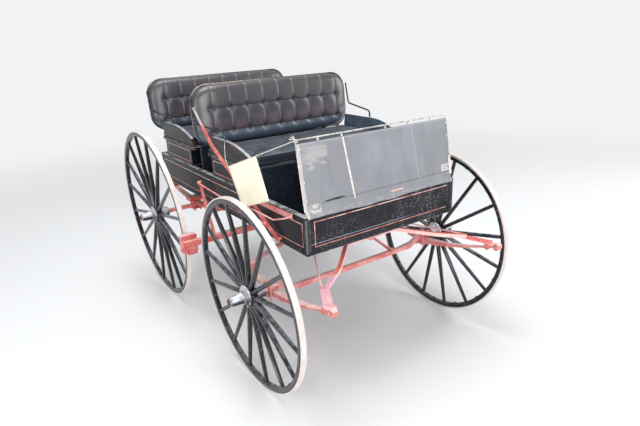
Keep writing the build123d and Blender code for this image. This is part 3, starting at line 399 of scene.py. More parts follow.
# Painted highlight: the hub is painted pale silver-grey on faces that look up, whiter in patches, and
# stays dark iron beneath.
top_highlight = facing[2].ramp(-0.25, 0.55)
paint_over(
    tree, shader, "2a2b31",
    (top_highlight * 0.9, "b6bcca"),
    (top_highlight * worn * 0.8, "e9edf4"),
    (rust * 0.30, "8c6f6c"),
)
raise_by(tree, shader, worn, 0.0005)
dress([f"{name}_hub" for name in wheel_names], hub_iron)

rim_rust = wear_and_glint_finish("hub_rim", 0.55, 0.1, "977472", (70.0, 0.40, 0.66), 1.0, "cdb4b1", 0.0005)
bolt_pale = wear_and_glint_finish("bolt_pale", 0.45, 0.3, "8f9096", (90.0, 0.35, 0.65), 1.0, "cfd0d3", 0.0003)


def turned_ring(mesh, centre, axis, outline, sides=48):
    """A solid of revolution: outline is a closed list of distance along axis and radius."""
    facing = axis.normalized().to_track_quat("Z", "Y").to_matrix()
    rings = []
    for side in range(sides):
        angle = 2 * pi * side / sides
        rings.append([
            mesh.verts.new(centre + facing @ Vector((r * cos(angle), r * sin(angle), along)))
            for along, r in outline
        ])
    join_rows(mesh, rings + rings[:1], closed=True)


hub_bolt_count = spoke_count // 2
bolt_circle = 0.0505
bolt_r, bolt_h = 0.0052, 0.0065
flange_face = 0.0243
bolt_sunk = 0.0012
nose_end = 0.100
nose_band_back = 0.074
cap_r, cap_h, cap_sunk = 0.0155, 0.007, 0.001
nose_rim = (
    (-0.009, 0.0195), (-0.008, 0.0235), (-0.0005, 0.0235), (0.0, 0.0225), (0.0, 0.0180),
    (-0.004, 0.0175),
)
nose_band = ((-0.003, 0.0290), (-0.003, 0.0335), (0.003, 0.0330), (0.003, 0.0285))
for wheel_name, (centre, outward, upward, radius) in wheel_table.items():
    bolts = bmesh.new()
    for side in (-1, 1):
        face = centre + outward * (side * (flange_face - bolt_sunk) - dish)
        for index in range(hub_bolt_count):
            turn = 2 * pi * (index + 0.5) / hub_bolt_count
            ray = Matrix.Rotation(turn, 3, outward) @ upward
            stud(bolts, face + ray * bolt_circle, outward * side, bolt_r, bolt_h)
    put_on(f"{wheel_name}_hub_bolts", bolts, bolt_pale, f"{wheel_name}_wheel", False)
    end = bmesh.new()
    tip = centre + outward * nose_end
    turned_ring(end, tip, outward, nose_rim)
    turned_ring(end, tip - outward * nose_band_back, outward, nose_band)
    put_on(f"{wheel_name}_nose_rings", end, rim_rust, f"{wheel_name}_wheel")
    nut = bmesh.new()
    stud(nut, tip - outward * cap_sunk, outward, cap_r, cap_h)
    put_on(f"{wheel_name}_axle_cap", nut, iron_dark, f"{wheel_name}_wheel", False)

# Body box: boards of poplar on an ash frame, painted black, with a fine pinkish red line in
# a long rectangle on each outer face. Edges are rubbed grey and the front is specked white.
line_half = 0.0016


def rectangle_line(across, up, left, right, low, high):
    """1 on a thin painted line round a rectangle."""
    from_sides = abs(across - (left + right) / 2) - (right - left) / 2
    from_ends = abs(up - (low + high) / 2) - (high - low) / 2
    return abs(from_sides.most(from_ends)).ramp(line_half + 0.0006, line_half)


def black_paint(name, face_axis, face_from, line, edges, specks=False, dust=0.5):
    """Worn black paint; line is a rectangle on the outer face, edges the heights rubbed grey.

    With specks it has the front panel's white specks and the long score above its lower line.
    """
    material, tree, shader = new_finish(name, 0.32)
    shader.inputs["Specular IOR Level"].default_value = 0.30
    place = spot_fields(tree)
    facing = spot_fields(tree, "Normal")
    haze = cloud(tree, 5.0, 0.38, 0.70)
    rub = cloud(tree, 48.0, 0.34, 0.60, stretch=(0.3, 0.3, 1))
    scratch = cloud(tree, 30.0, 0.60, 0.70, stretch=(1, 0.2, 5), shift=4.0)
    coats = [
        (haze * 0.35, "1d1d28"),
        (scratch * 0.25, "4c4a50"),
        (facing[2].ramp(0.5, 0.9) * cloud(tree, 12.0, 0.3, 0.7, shift=9.0) * dust, "77797f"),
    ]
    for level, half, strength in edges:
        near = abs(place[2] - level).ramp(half, half * 0.4)
        coats.append((near * rub * strength, "b3b2b6"))
    if specks:
        drops = cloud(tree, 185.0, 0.620, 0.645, detail=2.0, shift=1.0)
        fewer = cloud(tree, 9.0, 0.38, 0.62, shift=6.0)
        denser = place[0].ramp(-0.6, 0.4) * 0.55 + 0.45
        coats.append((drops * fewer * denser * 0.85, "b9b9bb"))
    if line:
        on_face = abs(place[face_axis]).ramp(face_from - 0.001, face_from)
        across = place[1 - face_axis]
        stripe = rectangle_line(across, place[2], *line)
        faded = cloud(tree, 18.0, 0.30, 0.62, shift=8.0)
        middle = (line[2] + line[3]) / 2
        upper = place[2].ramp(middle - 0.02, middle + 0.02) * 0.6 + 0.4
        if specks:
            left_open = across.ramp(line[1] - 0.0015, line[1] - 0.0060)
            stripe = stripe * left_open
        coats.append((stripe * on_face, "c5625a"))
        coats.append((stripe * on_face * faded * upper, "f3d3cb"))
        if specks:
            scored = abs(place[2] - line[2] - 0.0135 - abs(across) * 0.003)
            scored_line = scored.ramp(0.0019, 0.0008) * across.ramp(0.24, 0.05)
            coats.append((scored_line * on_face * 0.75, "9fb0c2"))
    paint_over(tree, shader, "0d0e16", *coats)
    raise_by(tree, shader, haze * 0.3 + cloud(tree, 90.0, 0.3, 0.7, shift=2.0), 0.0005)
    return material


body_top = 0.943
# Rubbed edges: height, half its width, strength. Lines: from and to across, low and high.
side_edges = ((body_top - 0.0015, 0.0026, 1.0), (0.7525, 0.0030, 0.5))
end_edges = ((body_top - 0.0010, 0.0022, 0.35), (0.7520, 0.0028, 0.4))
side_line = (-0.925, 0.930, 0.788, 0.902)
end_line = (-0.440, 0.440, 0.790, 0.912)
side_black = black_paint("side_black", 0, 0.484, side_line, side_edges)
dress(["side_panel_right", "side_panel_left"], side_black)
front_black = black_paint("front_black", 1, 0.960, end_line, end_edges, specks=True)
dress(["front_panel"], front_black)
tail_black = black_paint("tail_black", 1, 0.968, end_line, end_edges)
dress(["tail_panel"], tail_black)

# Corner irons: thin black straps that wrap the body's four corners, screwed to both panels
# and rubbed bare along the bend.
strap_t = 0.0012
strap_leg = 0.022
strap_low, strap_high = 0.764, 0.930
screw_heights = (0.785, 0.847, 0.909)
screw_r, screw_h = 0.003, 0.0012
body_half_w = 0.485
body_front = -0.961
body_back = 0.969
corner_irons = bmesh.new()
for side in (-1, 1):
    for end, facing in ((body_front, -1), (body_back, 1)):
        outer_x = side * (body_half_w + strap_t)
        outer_y = end + facing * strap_t
        corners = [
            (outer_x - side * strap_leg, outer_y), (outer_x, outer_y),
            (outer_x, outer_y - facing * strap_leg),
            (outer_x - side * strap_t, outer_y - facing * strap_leg),
            (outer_x - side * strap_t, outer_y - facing * strap_t),
            (outer_x - side * strap_leg, outer_y - facing * strap_t),
        ]
        rings = [
            [corner_irons.verts.new((x, y, z)) for x, y in corners] for z in (strap_low, strap_high)
        ]
        join_rows(corner_irons, rings, closed=True)
        corner_irons.faces.new(rings[0][::-1])
        corner_irons.faces.new(rings[1])
        for z in screw_heights:
            at_side = Vector((outer_x, outer_y - facing * strap_leg * 0.6, z))
            stud(corner_irons, at_side, Vector((side, 0, 0)), screw_r, screw_h, 10, crown=True)
            at_end = Vector((outer_x - side * strap_leg * 0.6, outer_y, z))
            stud(corner_irons, at_end, Vector((0, facing, 0)), screw_r, screw_h, 10, crown=True)
corner_iron, tree, shader = new_finish("corner_iron", 0.45, 0.3)
worn = cloud(tree, 30.0, 0.42, 0.70)
bend = spot_fields(tree)
body_mid_y = (body_front + body_back) / 2
body_half_l = (body_back - body_front) / 2
across_bend = abs(bend[0]).ramp(body_half_w - 0.004, body_half_w)
along_bend = abs(bend[1] - body_mid_y).ramp(body_half_l - 0.012, body_half_l - 0.004)
at_bend = across_bend * along_bend
paint_over(
    tree, shader, "2e2c31",
    (worn * 0.45, "5e5d63"),
    (at_bend * 0.40, "a9a8ad"),
)
raise_by(tree, shader, worn, 0.0003)
put_on("body_corner_irons", corner_irons, corner_iron, "carriage", False)

# Floor: long boards laid front to back with open joints and nailed to the frame, their black
# paint trodden off to grey wood and dust.
floor_black, tree, shader = new_finish("floor_boards", 0.6)
place = spot_fields(tree)
board_w = 0.1325
joint_line = place[0].math("PINGPONG", board_w / 2).ramp(0.0016, 0.0006)
trodden = cloud(tree, 7.0, 0.40, 0.68, stretch=(1, 0.3, 1))
wood_grain = cloud(tree, 60.0, 0.35, 0.7, stretch=(1, 0.06, 1), shift=3.0)
paint_over(
    tree, shader, "29282b",
    (trodden * 0.8, "6b6864"),
    (wood_grain * 0.3, "8a8783"),
    (joint_line, "0c0b0c"),
)
raise_by(tree, shader, wood_grain * 0.3 - joint_line, 0.0015)
dress(["floor"], floor_black)

# Seat boxes: the risers under each seat are panelled boards painted as the body, with the
# same line on their sides, and each carries a seat board with a rounded edge.
riser_edges = ((0.948, 0.003, 0.4), (1.062, 0.003, 0.5))
line_inset = 0.03
for seat_name, riser_y0, riser_y1 in (("front_seat", -0.421, 0.049), ("rear_seat", 0.364, 0.834)):
    riser_line = (riser_y0 + line_inset, riser_y1 - line_inset, 0.968, 1.040)
    dress([f"{seat_name}_riser"], black_paint(f"{seat_name}_riser", 0, 0.484, riser_line, riser_edges))
pan_edges = ((1.0800, 0.003, 0.6), (1.067, 0.003, 0.5))
seat_board = black_paint("seat_board", 0, 0.499, None, pan_edges, dust=0.3)
dress(["front_seat_pan", "rear_seat_pan"], seat_board)

# Seat sides: bent boards with a curved top, worn to brown wood inside and to bare grey along the top
# edge, black outside. On the far side the inside is painted blue-grey as a painted sheen.
side_wood, tree, shader = new_finish("seat_side", 0.40)
place = spot_fields(tree)
facing = spot_fields(tree, "Normal")
outside = (facing[0] * place[0]).ramp(0.02, 0.12)
# Painted sheen: the far seat sides' wood is painted blue-grey in place of brown.
far_side_sheen = place[0].ramp(0.2, 0.4)
worn = cloud(tree, 16.0, 0.38, 0.66)
streak = cloud(tree, 40.0, 0.42, 0.70, stretch=(1, 0.2, 1), shift=5.0)
patches = cloud(tree, 18.0, 0.44, 0.72, detail=5.0, stretch=(1, 0.5, 1.4), shift=8.0)
front_back_y, rear_back_y = -0.010, 0.775
beside_back, clear_of_back = 0.065, 0.085
by_front_back = abs(place[1] - front_back_y).ramp(clear_of_back, beside_back)
by_rear_back = abs(place[1] - rear_back_y).ramp(clear_of_back, beside_back)
top_edge = facing[2].ramp(0.35, 0.75) * (by_front_back.most(by_rear_back) * -0.9 + 1.0)
paint_over(
    tree, shader, "33241e",
    (worn * 0.7, "4b382b"),
    (streak * 0.4, "201715"),
    (far_side_sheen, "3a4653"),
    (far_side_sheen * worn * 0.6, "505d6c"),
    (outside, "151418"),
    (outside * patches * 0.55, "4a3a33"),
    (top_edge * (worn * 0.4 + 0.6), "a9abb2"),
)
raise_by(tree, shader, streak, 0.0006)
dress(["front_seat_sides", "rear_seat_sides"], side_wood)

# Leather of the seats: black hide with a fine grain and dust in the folds. The cushions and
# falls share it, and the backs have the same grain under a higher gloss.


def pores(tree, scale):
    """The pores of a hide: 0 in the middle of each, more towards its edge."""
    texture = tree.nodes.new("ShaderNodeTexVoronoi")
    texture.inputs["Scale"].default_value = scale
    coordinates = tree.nodes.new("ShaderNodeTexCoord")
    tree.links.new(coordinates.outputs["Object"], texture.inputs["Vector"])
    return Field(tree, texture.outputs["Distance"])


def hide(name, base, swell, dusty, roughness):
    """Black upholstery leather with worn patches, wiped dust, wrinkles and grain."""
    material, tree, shader = new_finish(name, roughness)
    worn = cloud(tree, 9.0, 0.40, 0.68)
    scuffs = cloud(tree, 42.0, 0.56, 0.74, shift=3.0)
    facing = spot_fields(tree, "Normal")
    wiped = cloud(tree, 30.0, 0.28, 0.74, detail=8.0, stretch=(0.35, 1.5, 1), shift=6.0)
    settled = facing[2].ramp(0.55, 0.95) * wiped
    paint_over(
        tree, shader, base,
        (worn * 0.75, swell),
        (scuffs * 0.35, "5a585c"),
        (settled * dusty, "6f757c"),
    )
    creases = cloud(tree, 55.0, 0.35, 0.62, detail=8.0, shift=2.0)
    raise_by(tree, shader, pores(tree, 420.0) * 0.6 + creases * 1.4, 0.00035)
    uneven = cloud(tree, 24.0, 0.25, 0.75, shift=11.0) * 0.22 + (roughness - 0.10)
    tree.links.new(uneven.socket, shader.inputs["Roughness"])
    return material


seat_leather = hide("seat_leather", "232b36", "2f3a47", 0.6, 0.40)

# Tufted backs: leather over horsehair on a board, drawn down by two rows of nine buttons with
# pleats between them, rolled over at the edge and bound with a light welt.
back_half_w = 0.551
back_h = 0.353
back_corner = 0.102
back_roll = 0.058
end_roll = 0.150
back_t = 0.088
back_base_z = 1.126
back_lean = radians(5.0)
button_gap = 0.1103
button_rows = (0.077, 0.215)
columns = [button_gap * (place - 4) for place in range(9)]
valley_drop = 0.0034
row_drop, row_reach, row_end = 0.0026, 0.010, 0.040
pleat_half, pleat_drop, row_pleat_drop = 0.0022, 0.0020, 0.0016
fold_rise, fold_from_pleat, fold_half = 0.0004, 0.0048, 0.0028
button_drop, button_reach = 0.0095, 0.0110
dimple_drop, dimple_reach = 0.0045, 0.028
back_up = Vector((0.0, sin(back_lean), cos(back_lean)))
back_forward = Vector((0.0, -cos(back_lean), sin(back_lean)))


def half_width(v):
    """Half the back's width at a height, with round corners."""
    into = max(back_corner - v, v - (back_h - back_corner), 0.0)
    return back_half_w - back_corner + sqrt(max(back_corner**2 - into**2, 0.0))


def tuft_depth(u, v):
    """Where the leather lies in front of (+) or behind (-) the back's front plane."""
    past_corner = min(max(abs(u) - (back_half_w - back_corner), 0.0), back_corner)
    cut_off = back_corner - sqrt(back_corner**2 - past_corner**2)
    turn_u = max(0.0, 1 - (half_width(v) - abs(u)) / end_roll)
    turn_v = max(0.0, 1 - (min(v, back_h - v) - cut_off) / back_roll)
    turn = min((turn_u**4 + turn_v**4) ** 0.25, 1.0)
    depth = -back_roll * (1 - sqrt(1 - turn**2))
    nearest = min(columns, key=lambda x: abs(u - x))
    beside = u - nearest
    share = min(abs(beside) / (button_gap / 2), 1.0)
    low_row, high_row = button_rows
    drawn = 1.0
    if v < low_row:
        drawn = 0.25 + 0.75 * v / low_row
    elif v > high_row:
        drawn = 1.0 - 0.8 * (v - high_row) / (back_h - high_row)
    depth -= valley_drop * drawn * (1 - share) ** 3
    depth -= pleat_drop * exp(-((beside / pleat_half) ** 2))
    depth += fold_rise * exp(-(((beside - fold_from_pleat) / fold_half) ** 2))
    for row in button_rows:
        reach = max(0.0, 1 - max(0.0, abs(u) - columns[-1]) / row_end)
        depth -= row_drop * exp(-abs(v - row) / row_reach) * reach
        depth -= row_pleat_drop * exp(-(((v - row) / pleat_half) ** 2)) * reach
        away = hypot(beside, v - row)
        depth -= button_drop * exp(-((away / button_reach) ** 2))
        depth -= dimple_drop * exp(-((away / dimple_reach) ** 2))
    return depth


def eased(steps, squeeze=0.72):
    """Shares from 0 to 1, closer together at both ends."""
    return [s / steps - squeeze * sin(2 * pi * s / steps) / (2 * pi) for s in range(steps)]


def tube(mesh, path, radius, sides=8, closed=False):
    """A round cord, welt or wire along a list of points."""
    rings = []
    count = len(path)
    normal = None
    for place, point in enumerate(path):
        before = path[(place - 1) % count] if closed or place else path[0]
        after = path[(place + 1) % count] if closed or place < count - 1 else path[-1]
        along = (after - before).normalized()
        if normal is None:
            normal = along.orthogonal().normalized()
        normal = (normal - along * normal.dot(along)).normalized()
        binormal = along.cross(normal)
        rings.append([
            mesh.verts.new(
                point
                + normal * (radius * cos(2 * pi * side / sides))
                + binormal * (radius * sin(2 * pi * side / sides))
            )
            for side in range(sides)
        ])
    join_rows(mesh, rings + rings[:1] if closed else rings, closed=True)
    if not closed:
        mesh.faces.new(rings[0][::-1])
        mesh.faces.new(rings[-1])


def round_outline(reach_x, reach_y, radius, steps):
    """Points round a rectangle with round corners, whose centres lie at the reaches."""
    points = []
    for sign_x, sign_y, start in ((1, 1, 0), (-1, 1, 90), (-1, -1, 180), (1, -1, 270)):
        for step in range(steps):
            angle = radians(start + 90 * step / (steps - 1))
            points.append((
                sign_x * reach_x + radius * cos(angle), sign_y * reach_y + radius * sin(angle),
            ))
    return points


back_leather, tree, shader = new_finish("back_leather", 0.27)
place = spot_fields(tree)
up_back = place[2] - back_base_z
beside_pleat = place[0].math("PINGPONG", button_gap / 2)
in_front = spot_fields(tree, "Normal")[1].ramp(0.6, 0.2)
# Painted highlight: a thin pale line down each pleat on the front faces.
pleat_highlight = beside_pleat.ramp(0.0017, 0.0006) * abs(place[0]).ramp(0.475, 0.455) * in_front
# Painted sheen: the top roll is painted a lighter grey.
top_roll_sheen = up_back.ramp(0.205, 0.245)
middle_low = abs(up_back - 0.120).ramp(0.050, 0.015) * beside_pleat.ramp(0.008, 0.030)
# Painted reflection: the foot roll is painted a lighter blue-grey.
foot_roll_sheen = up_back.ramp(0.080, 0.055)
uneven = cloud(tree, 9.0, 0.34, 0.66)
scuffs = cloud(tree, 38.0, 0.58, 0.76, shift=3.0)
paint_over(
    tree, shader, "2d2b35",
    (uneven * 0.4, "3d3a46"),
    (top_roll_sheen * (uneven * 0.4 + 0.6), "413d40"),
    (middle_low * (uneven * 0.4 + 0.3) * in_front, "5c4852"),
    (foot_roll_sheen * 0.85, "4d5b6b"),
    (scuffs * 0.12, "5b585a"),
    (pleat_highlight * 0.5, "8e8b93"),
)
wrinkles = cloud(tree, 34.0, 0.30, 0.70, detail=4.0, shift=2.0)
raise_by(tree, shader, pores(tree, 380.0) * 0.5 + wrinkles, 0.00022)
shader.inputs["Coat Weight"].default_value = 0.8
shader.inputs["Coat Roughness"].default_value = 0.33
gloss = cloud(tree, 15.0, 0.25, 0.75, shift=11.0) * 0.08 + 0.34
tree.links.new(gloss.socket, shader.inputs["Roughness"])

back_cloth, tree, shader = new_finish("back_cloth", 0.55)
scuffs = cloud(tree, 14.0, 0.45, 0.75, stretch=(1, 1, 0.4), shift=4.0)
weave = cloud(tree, 420.0, 0.35, 0.65, detail=2.0)
paint_over(
    tree, shader, "17171b",
    (scuffs * 0.4, "3b3a3f"),
    (weave * 0.2, "26262b"),
)
raise_by(tree, shader, weave * 0.5 + scuffs * 0.5, 0.0003)

welt_beige, tree, shader = new_finish("welt_beige", 0.55)
place = spot_fields(tree)
worn = cloud(tree, 60.0, 0.35, 0.65)
shows = place[2].ramp(1.40, 1.46) * place[0].ramp(0.10, -0.25)
paint_over(
    tree, shader, "1d1b1e",
    (worn * 0.3, "55504d"),
    (shows * (worn * 0.5 + 0.5), "b7aa98"),
)
raise_by(tree, shader, worn, 0.0004)

# Painted highlights: the buttons' leather has pale glints painted on in patches.
glinting_button_leather = wear_and_glint_finish(
    "glinting_button_leather", 0.25, 0.0, "232227", (160.0, 0.40, 0.62), 0.7, "9c9ca2", 0.0002
)

keep_x = 0.462
wide_gap = 0.05
across_list = [-back_half_w + (back_half_w - keep_x) * s for s in eased(14, 0.3)]
edge_marks = [-keep_x] + columns + [keep_x]
for left, right in zip(edge_marks, edge_marks[1:]):
    steps = 26 if right - left > wide_gap else 5
    across_list += [left + (right - left) * s for s in eased(steps)]
across_list += [keep_x + (back_half_w - keep_x) * s for s in eased(14, 0.3)] + [back_half_w]
up_marks = (0.0, *button_rows, back_h)
up_list = []
for low, high, steps in zip(up_marks, up_marks[1:], (20, 30, 28)):
    up_list += [low + (high - low) * s for s in eased(steps)]
up_list.append(back_h)

button_r, button_h, button_sunk = 0.0066, 0.0058, 0.001
welt_r = 0.0034
edge_turns_in = 0.074
for seat_name, back_y in (("front_seat", 0.013), ("rear_seat", 0.798)):
    foot = Vector((0.0, back_y, back_base_z))

    def back_spot(u, v, w):
        """A point of this back: across, up its face and forward of it."""
        return foot + Vector((u, 0, 0)) + back_up * v + back_forward * w

    back = bmesh.new()
    grid = []
    for v in up_list:
        row = []
        half = half_width(v)
        for u in across_list:
            if abs(u) > keep_x:
                share = (abs(u) - keep_x) / (back_half_w - keep_x)
                u = (keep_x + share * (half - keep_x)) * (1 if u > 0 else -1)
            row.append(back.verts.new(back_spot(u, v, tuft_depth(u, v))))
        grid.append(row)
    join_rows(back, grid)
    ends = [row[-1] for row in grid[1:-1]], [row[0] for row in grid[-2:0:-1]]
    rings = [grid[0] + ends[0] + grid[-1][::-1] + ends[1]]
    for level in (-edge_turns_in, -back_t):
        ring = []
        for vert in rings[0]:
            local = vert.co - foot
            ring.append(back.verts.new(back_spot(local.x, local.dot(back_up), level)))
        rings.append(ring)
    join_rows(back, rings, closed=True)
    back.faces.new(rings[-1])
    padded_back = put_on(f"{seat_name}_tufted_back", back, back_leather, "carriage")
    padded_back.data.materials.append(back_cloth)
    rear_face = max(padded_back.data.polygons, key=lambda polygon: len(polygon.vertices))
    rear_face.material_index = 1
    rear_face.use_smooth = False
    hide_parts(f"{seat_name}_back")

    welt = bmesh.new()
    outline = round_outline(back_half_w - back_corner, back_h / 2 - back_corner, back_corner, 13)
    welt_line = [back_spot(u, back_h / 2 + v, -back_roll + 0.001) for u, v in outline]
    tube(welt, welt_line, welt_r, closed=True)
    put_on(f"{seat_name}_back_welt", welt, welt_beige, "carriage")

    buttons = bmesh.new()
    for u in columns:
        for v in button_rows:
            at = back_spot(u, v, tuft_depth(u, v) - button_sunk)
            stud(buttons, at, back_forward, button_r, button_h, 20, crown=True)
    put_on(f"{seat_name}_back_buttons", buttons, glinting_button_leather, "carriage")

# Seat cushions: flat box cushions of leather over horsehair, sat down in the middle, with a
# welt round the top edge. The filling is swelled by a short cloth simulation.
cushion_half_w = 0.466
cushion_depth = 0.474
cushion_mid = 0.262
cushion_z0 = 1.0856
cushion_h = 0.056
base_band = 0.004
before_filling = 0.004
cushion_corner = 0.030
# The cover's sides: height over the base, and how far they stand in.
cover_levels = ((0.0, 0.006), (0.008, 0.0), (cushion_h - 0.016, 0.0), (cushion_h - 0.008, 0.005))


def cushion_start(seat_y):
    """The sewn cover before it is filled: a low box with rounded corners."""
    mesh = bmesh.new()
    reach_x = cushion_half_w - before_filling - cushion_corner
    reach_y = cushion_depth / 2 - before_filling - cushion_corner
    rings = []
    for level, inset in cover_levels:
        outline = round_outline(reach_x, reach_y, cushion_corner - inset, 7)
        rings.append([
            mesh.verts.new((x, seat_y + cushion_mid + y, cushion_z0 + level)) for x, y in outline
        ])
    join_rows(mesh, rings, closed=True)
    mesh.faces.new(rings[0][::-1])
    mesh.faces.new(rings[-1])
    return mesh


voxel = 0.0065
filling_pressure = 4.0
filling_frames = 20
swell_limit = 0.010


def fill_cushion(piece):
    """Swells a cover with cloth pressure, keeps its base flat and limits how far it moves."""
    bpy.context.view_layer.objects.active = piece
    remesh = piece.modifiers.new("even", "REMESH")
    remesh.mode = "VOXEL"
    remesh.voxel_size = voxel
    bpy.ops.object.modifier_apply(modifier=remesh.name)
    start = [v.co.copy() for v in piece.data.vertices]
    pins = piece.vertex_groups.new(name="base")
    held = [index for index, spot in enumerate(start) if spot.z < cushion_z0 + base_band]
    pins.add(held, 1.0, "REPLACE")
    cloth = piece.modifiers.new("filling", "CLOTH")
    cloth.settings.use_pressure = True
    cloth.settings.uniform_pressure_force = filling_pressure
    cloth.settings.vertex_group_mass = "base"
    cloth.settings.effector_weights.gravity = 0.0
    for step in range(1, filling_frames + 1):
        bpy.context.scene.frame_set(step)
    bpy.ops.object.modifier_apply(modifier=cloth.name)
    bpy.context.scene.frame_set(1)
    for vert, old in zip(piece.data.vertices, start):
        moved = vert.co - old
        if moved.length > swell_limit:
            vert.co = old + moved * (swell_limit / moved.length)
        if old.z < cushion_z0 + base_band:
            vert.co.z = max(vert.co.z, cushion_z0)


seat_fronts = (("front_seat", -0.501), ("rear_seat", 0.284))
top_half = 0.030
sat_dip = 0.006
welt_in, welt_corner = 0.034, 0.036
cushion_welt_r = 0.0035
for seat_name, seat_y in seat_fronts:
    cushion = put_on(
        f"{seat_name}_box_cushion", cushion_start(seat_y), seat_leather, "carriage"
    )
    fill_cushion(cushion)
    for vert in cushion.data.vertices:
        share_x = vert.co.x / cushion_half_w
        share_y = (vert.co.y - seat_y - cushion_mid) / (cushion_depth / 2)
        if vert.co.z > cushion_z0 + top_half:
            sat_on = exp(-((abs(share_x) - 0.45) / 0.30) ** 2) * exp(-((share_y / 0.6) ** 2))
            dip = sat_dip * sat_on
            wave = 0.0016 * sin(vert.co.x * 47.0 + 3.0 * sin(vert.co.y * 15.0))
            vert.co.z -= dip + wave * (1 - share_y**2)
    for polygon in cushion.data.polygons:
        polygon.use_smooth = True
    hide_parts(f"{seat_name}_cushion")
    surface = BVHTree.FromObject(cushion, bpy.context.evaluated_depsgraph_get())
    outline = round_outline(cushion_half_w - welt_in, cushion_depth / 2 - welt_in, welt_corner, 9)
    welt_line = [
        surface.find_nearest(Vector((x, seat_y + cushion_mid + y, cushion_z0 + cushion_h - 0.004)))[0]
        for x, y in outline
    ]
    welt = bmesh.new()
    tube(welt, welt_line, cushion_welt_r, closed=True)
    put_on(f"{seat_name}_cushion_welt", welt, seat_leather, "carriage")

# Falls: leather aprons nailed under the front edge of each seat board, hanging to the floor,
# with a stitched band along the top.
fall_half_w = 0.456
fall_top = 1.083
fall_foot = 0.798
fall_from_seat = 0.0023
band_h, band_t = 0.030, 0.0012
fall_front, fall_back = -0.0022, 0.0010
fall_leather = hide("fall_leather", "171e2a", "212b3a", 0.2, 0.34)


def close_sheet(mesh, front, back):
    """The two faces of a sheet, given as rows of points, and the strip round its four edges."""
    join_rows(mesh, front)
    join_rows(mesh, back)
    for edge in (0, -1):
        join_rows(mesh, (front[edge], back[edge]))
        join_rows(mesh, ([row[edge] for row in front], [row[edge] for row in back]))


levels, spans = 40, 96
for seat_name, seat_y in seat_fronts:
    fall = bmesh.new()
    front_rows, back_rows = [], []
    for level in range(levels + 1):
        down = level / levels
        z = fall_top - (fall_top - fall_foot) * down
        band = band_t if z > fall_top - band_h else 0.0
        front_row, back_row = [], []
        for span in range(spans + 1):
            x = -fall_half_w + 2 * fall_half_w * span / spans
            wave = 0.0022 * down * sin(x * 19.0 + 0.8) + 0.0012 * down * sin(x * 43.0)
            y = seat_y - fall_from_seat + wave
            front_row.append(fall.verts.new((x, y + fall_front - band, z)))
            back_row.append(fall.verts.new((x, y + fall_back, z)))
        front_rows.append(front_row)
        back_rows.append(back_row)
    close_sheet(fall, front_rows, back_rows)
    apron = put_on(f"{seat_name}_leather_fall", fall, fall_leather, "carriage")
    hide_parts(f"{seat_name}_fall")

# Irons of the seats: round arm rails and flat stays behind the backs, forged, screwed to the
# seat sides and boards, and painted black, which has rubbed off in patches.
seat_iron = wear_and_glint_finish("seat_iron", 0.38, 0.35, "19181b", (50.0, 0.44, 0.68), 0.4, "6f7076", 0.0004)
dress(["front_seat_irons", "rear_seat_irons"], seat_iron)

# Dash: one hide of grey weathered leather stretched on an iron frame and stitched round it,
# with a bar sewn in as a rib, a fainter second seam, a hem line and a slit torn beside it.
dash_half_w = 0.475
dash_h = 0.330
dash_foot = Vector((0.0, -0.951, 0.943))
dash_rake = radians(9.0)
dash_up = Vector((0.0, sin(dash_rake), cos(dash_rake)))
dash_forward = Vector((0.0, -cos(dash_rake), sin(dash_rake)))


def dash_spot(u, v, w):
    """A point of the dash: across, up its face and forward of its middle."""
    return dash_foot + Vector((u, 0, 0)) + dash_up * v + dash_forward * w


rib_top_u, rib_foot_u = -0.226, -0.192
seam_top_u, seam_foot_u = 0.212, 0.240
rib_rise = 0.0030
hem_v = 0.047


def line_u(top_u, foot_u, v):
    """Where a sewn line that slants a little lies at a height."""
    return foot_u + (top_u - foot_u) * v / dash_h


def dash_relief(u, v):
    """Height of the leather's front over its plain plane."""
    rise = 0.0
    if v > hem_v - 0.01:
        seam_away = u - line_u(seam_top_u, seam_foot_u, v)
        rise += 0.0022 * exp(-((seam_away / 0.0045) ** 2))
        rise -= 0.0012 * exp(-(((seam_away - 0.010) / 0.003) ** 2))
        rib_away = u - line_u(rib_top_u, rib_foot_u, v)
        rise += rib_rise * exp(-((rib_away / 0.011) ** 2))
    hem_away = v - hem_v - 0.003 * sin(u * 5.0)
    rise += 0.0020 * exp(-((hem_away / 0.0035) ** 2)) * (1 if abs(u) < 0.44 else 0)
    rise -= 0.0012 * exp(-(((hem_away + 0.006) / 0.003) ** 2))
    rise += 0.0022 * sin(u * 7.3 + 1.0) * sin(pi * v / dash_h)
    rise += 0.0012 * sin(u * 23.0 + 4.0 * v / dash_h) * exp(-v / 0.08)
    right_pull = max(0.0, (u - 0.33) / 0.145)
    rise += 0.0030 * right_pull * sin((u - 0.33) * 46.0 + v * 30.0) * exp(-(((v - 0.11) / 0.10) ** 2))
    return rise


dash_grey, tree, shader = new_finish("dash_leather", 0.62)
place = spot_fields(tree)
up_dash = (place[2] - dash_foot.z) * (1 / cos(dash_rake))
mottled = cloud(tree, 6.0, 0.36, 0.68)
streaks = cloud(tree, 26.0, 0.40, 0.70, stretch=(1, 1, 0.12), shift=2.0)
ragged = cloud(tree, 17.0, 0.25, 0.75, stretch=(1, 1, 2.2), shift=5.0)
from_patch = abs(place[0] + 0.388) + ragged * 0.055
dusty = from_patch.ramp(0.118, 0.070) * (up_dash - ragged * 0.110).ramp(0.150, 0.205)
dusty = dusty * up_dash.ramp(0.322, 0.300) * (ragged * -0.5 + 1.0)


def patch(across, up, half_w, half_h, soft_w, soft_h):
    """1 on a small patch of the dash; soft is how wide its edges fade."""
    beside = abs(place[0] - across).ramp(half_w, half_w - soft_w)
    above = abs(up_dash - up).ramp(half_h, half_h - soft_h)
    return beside * above


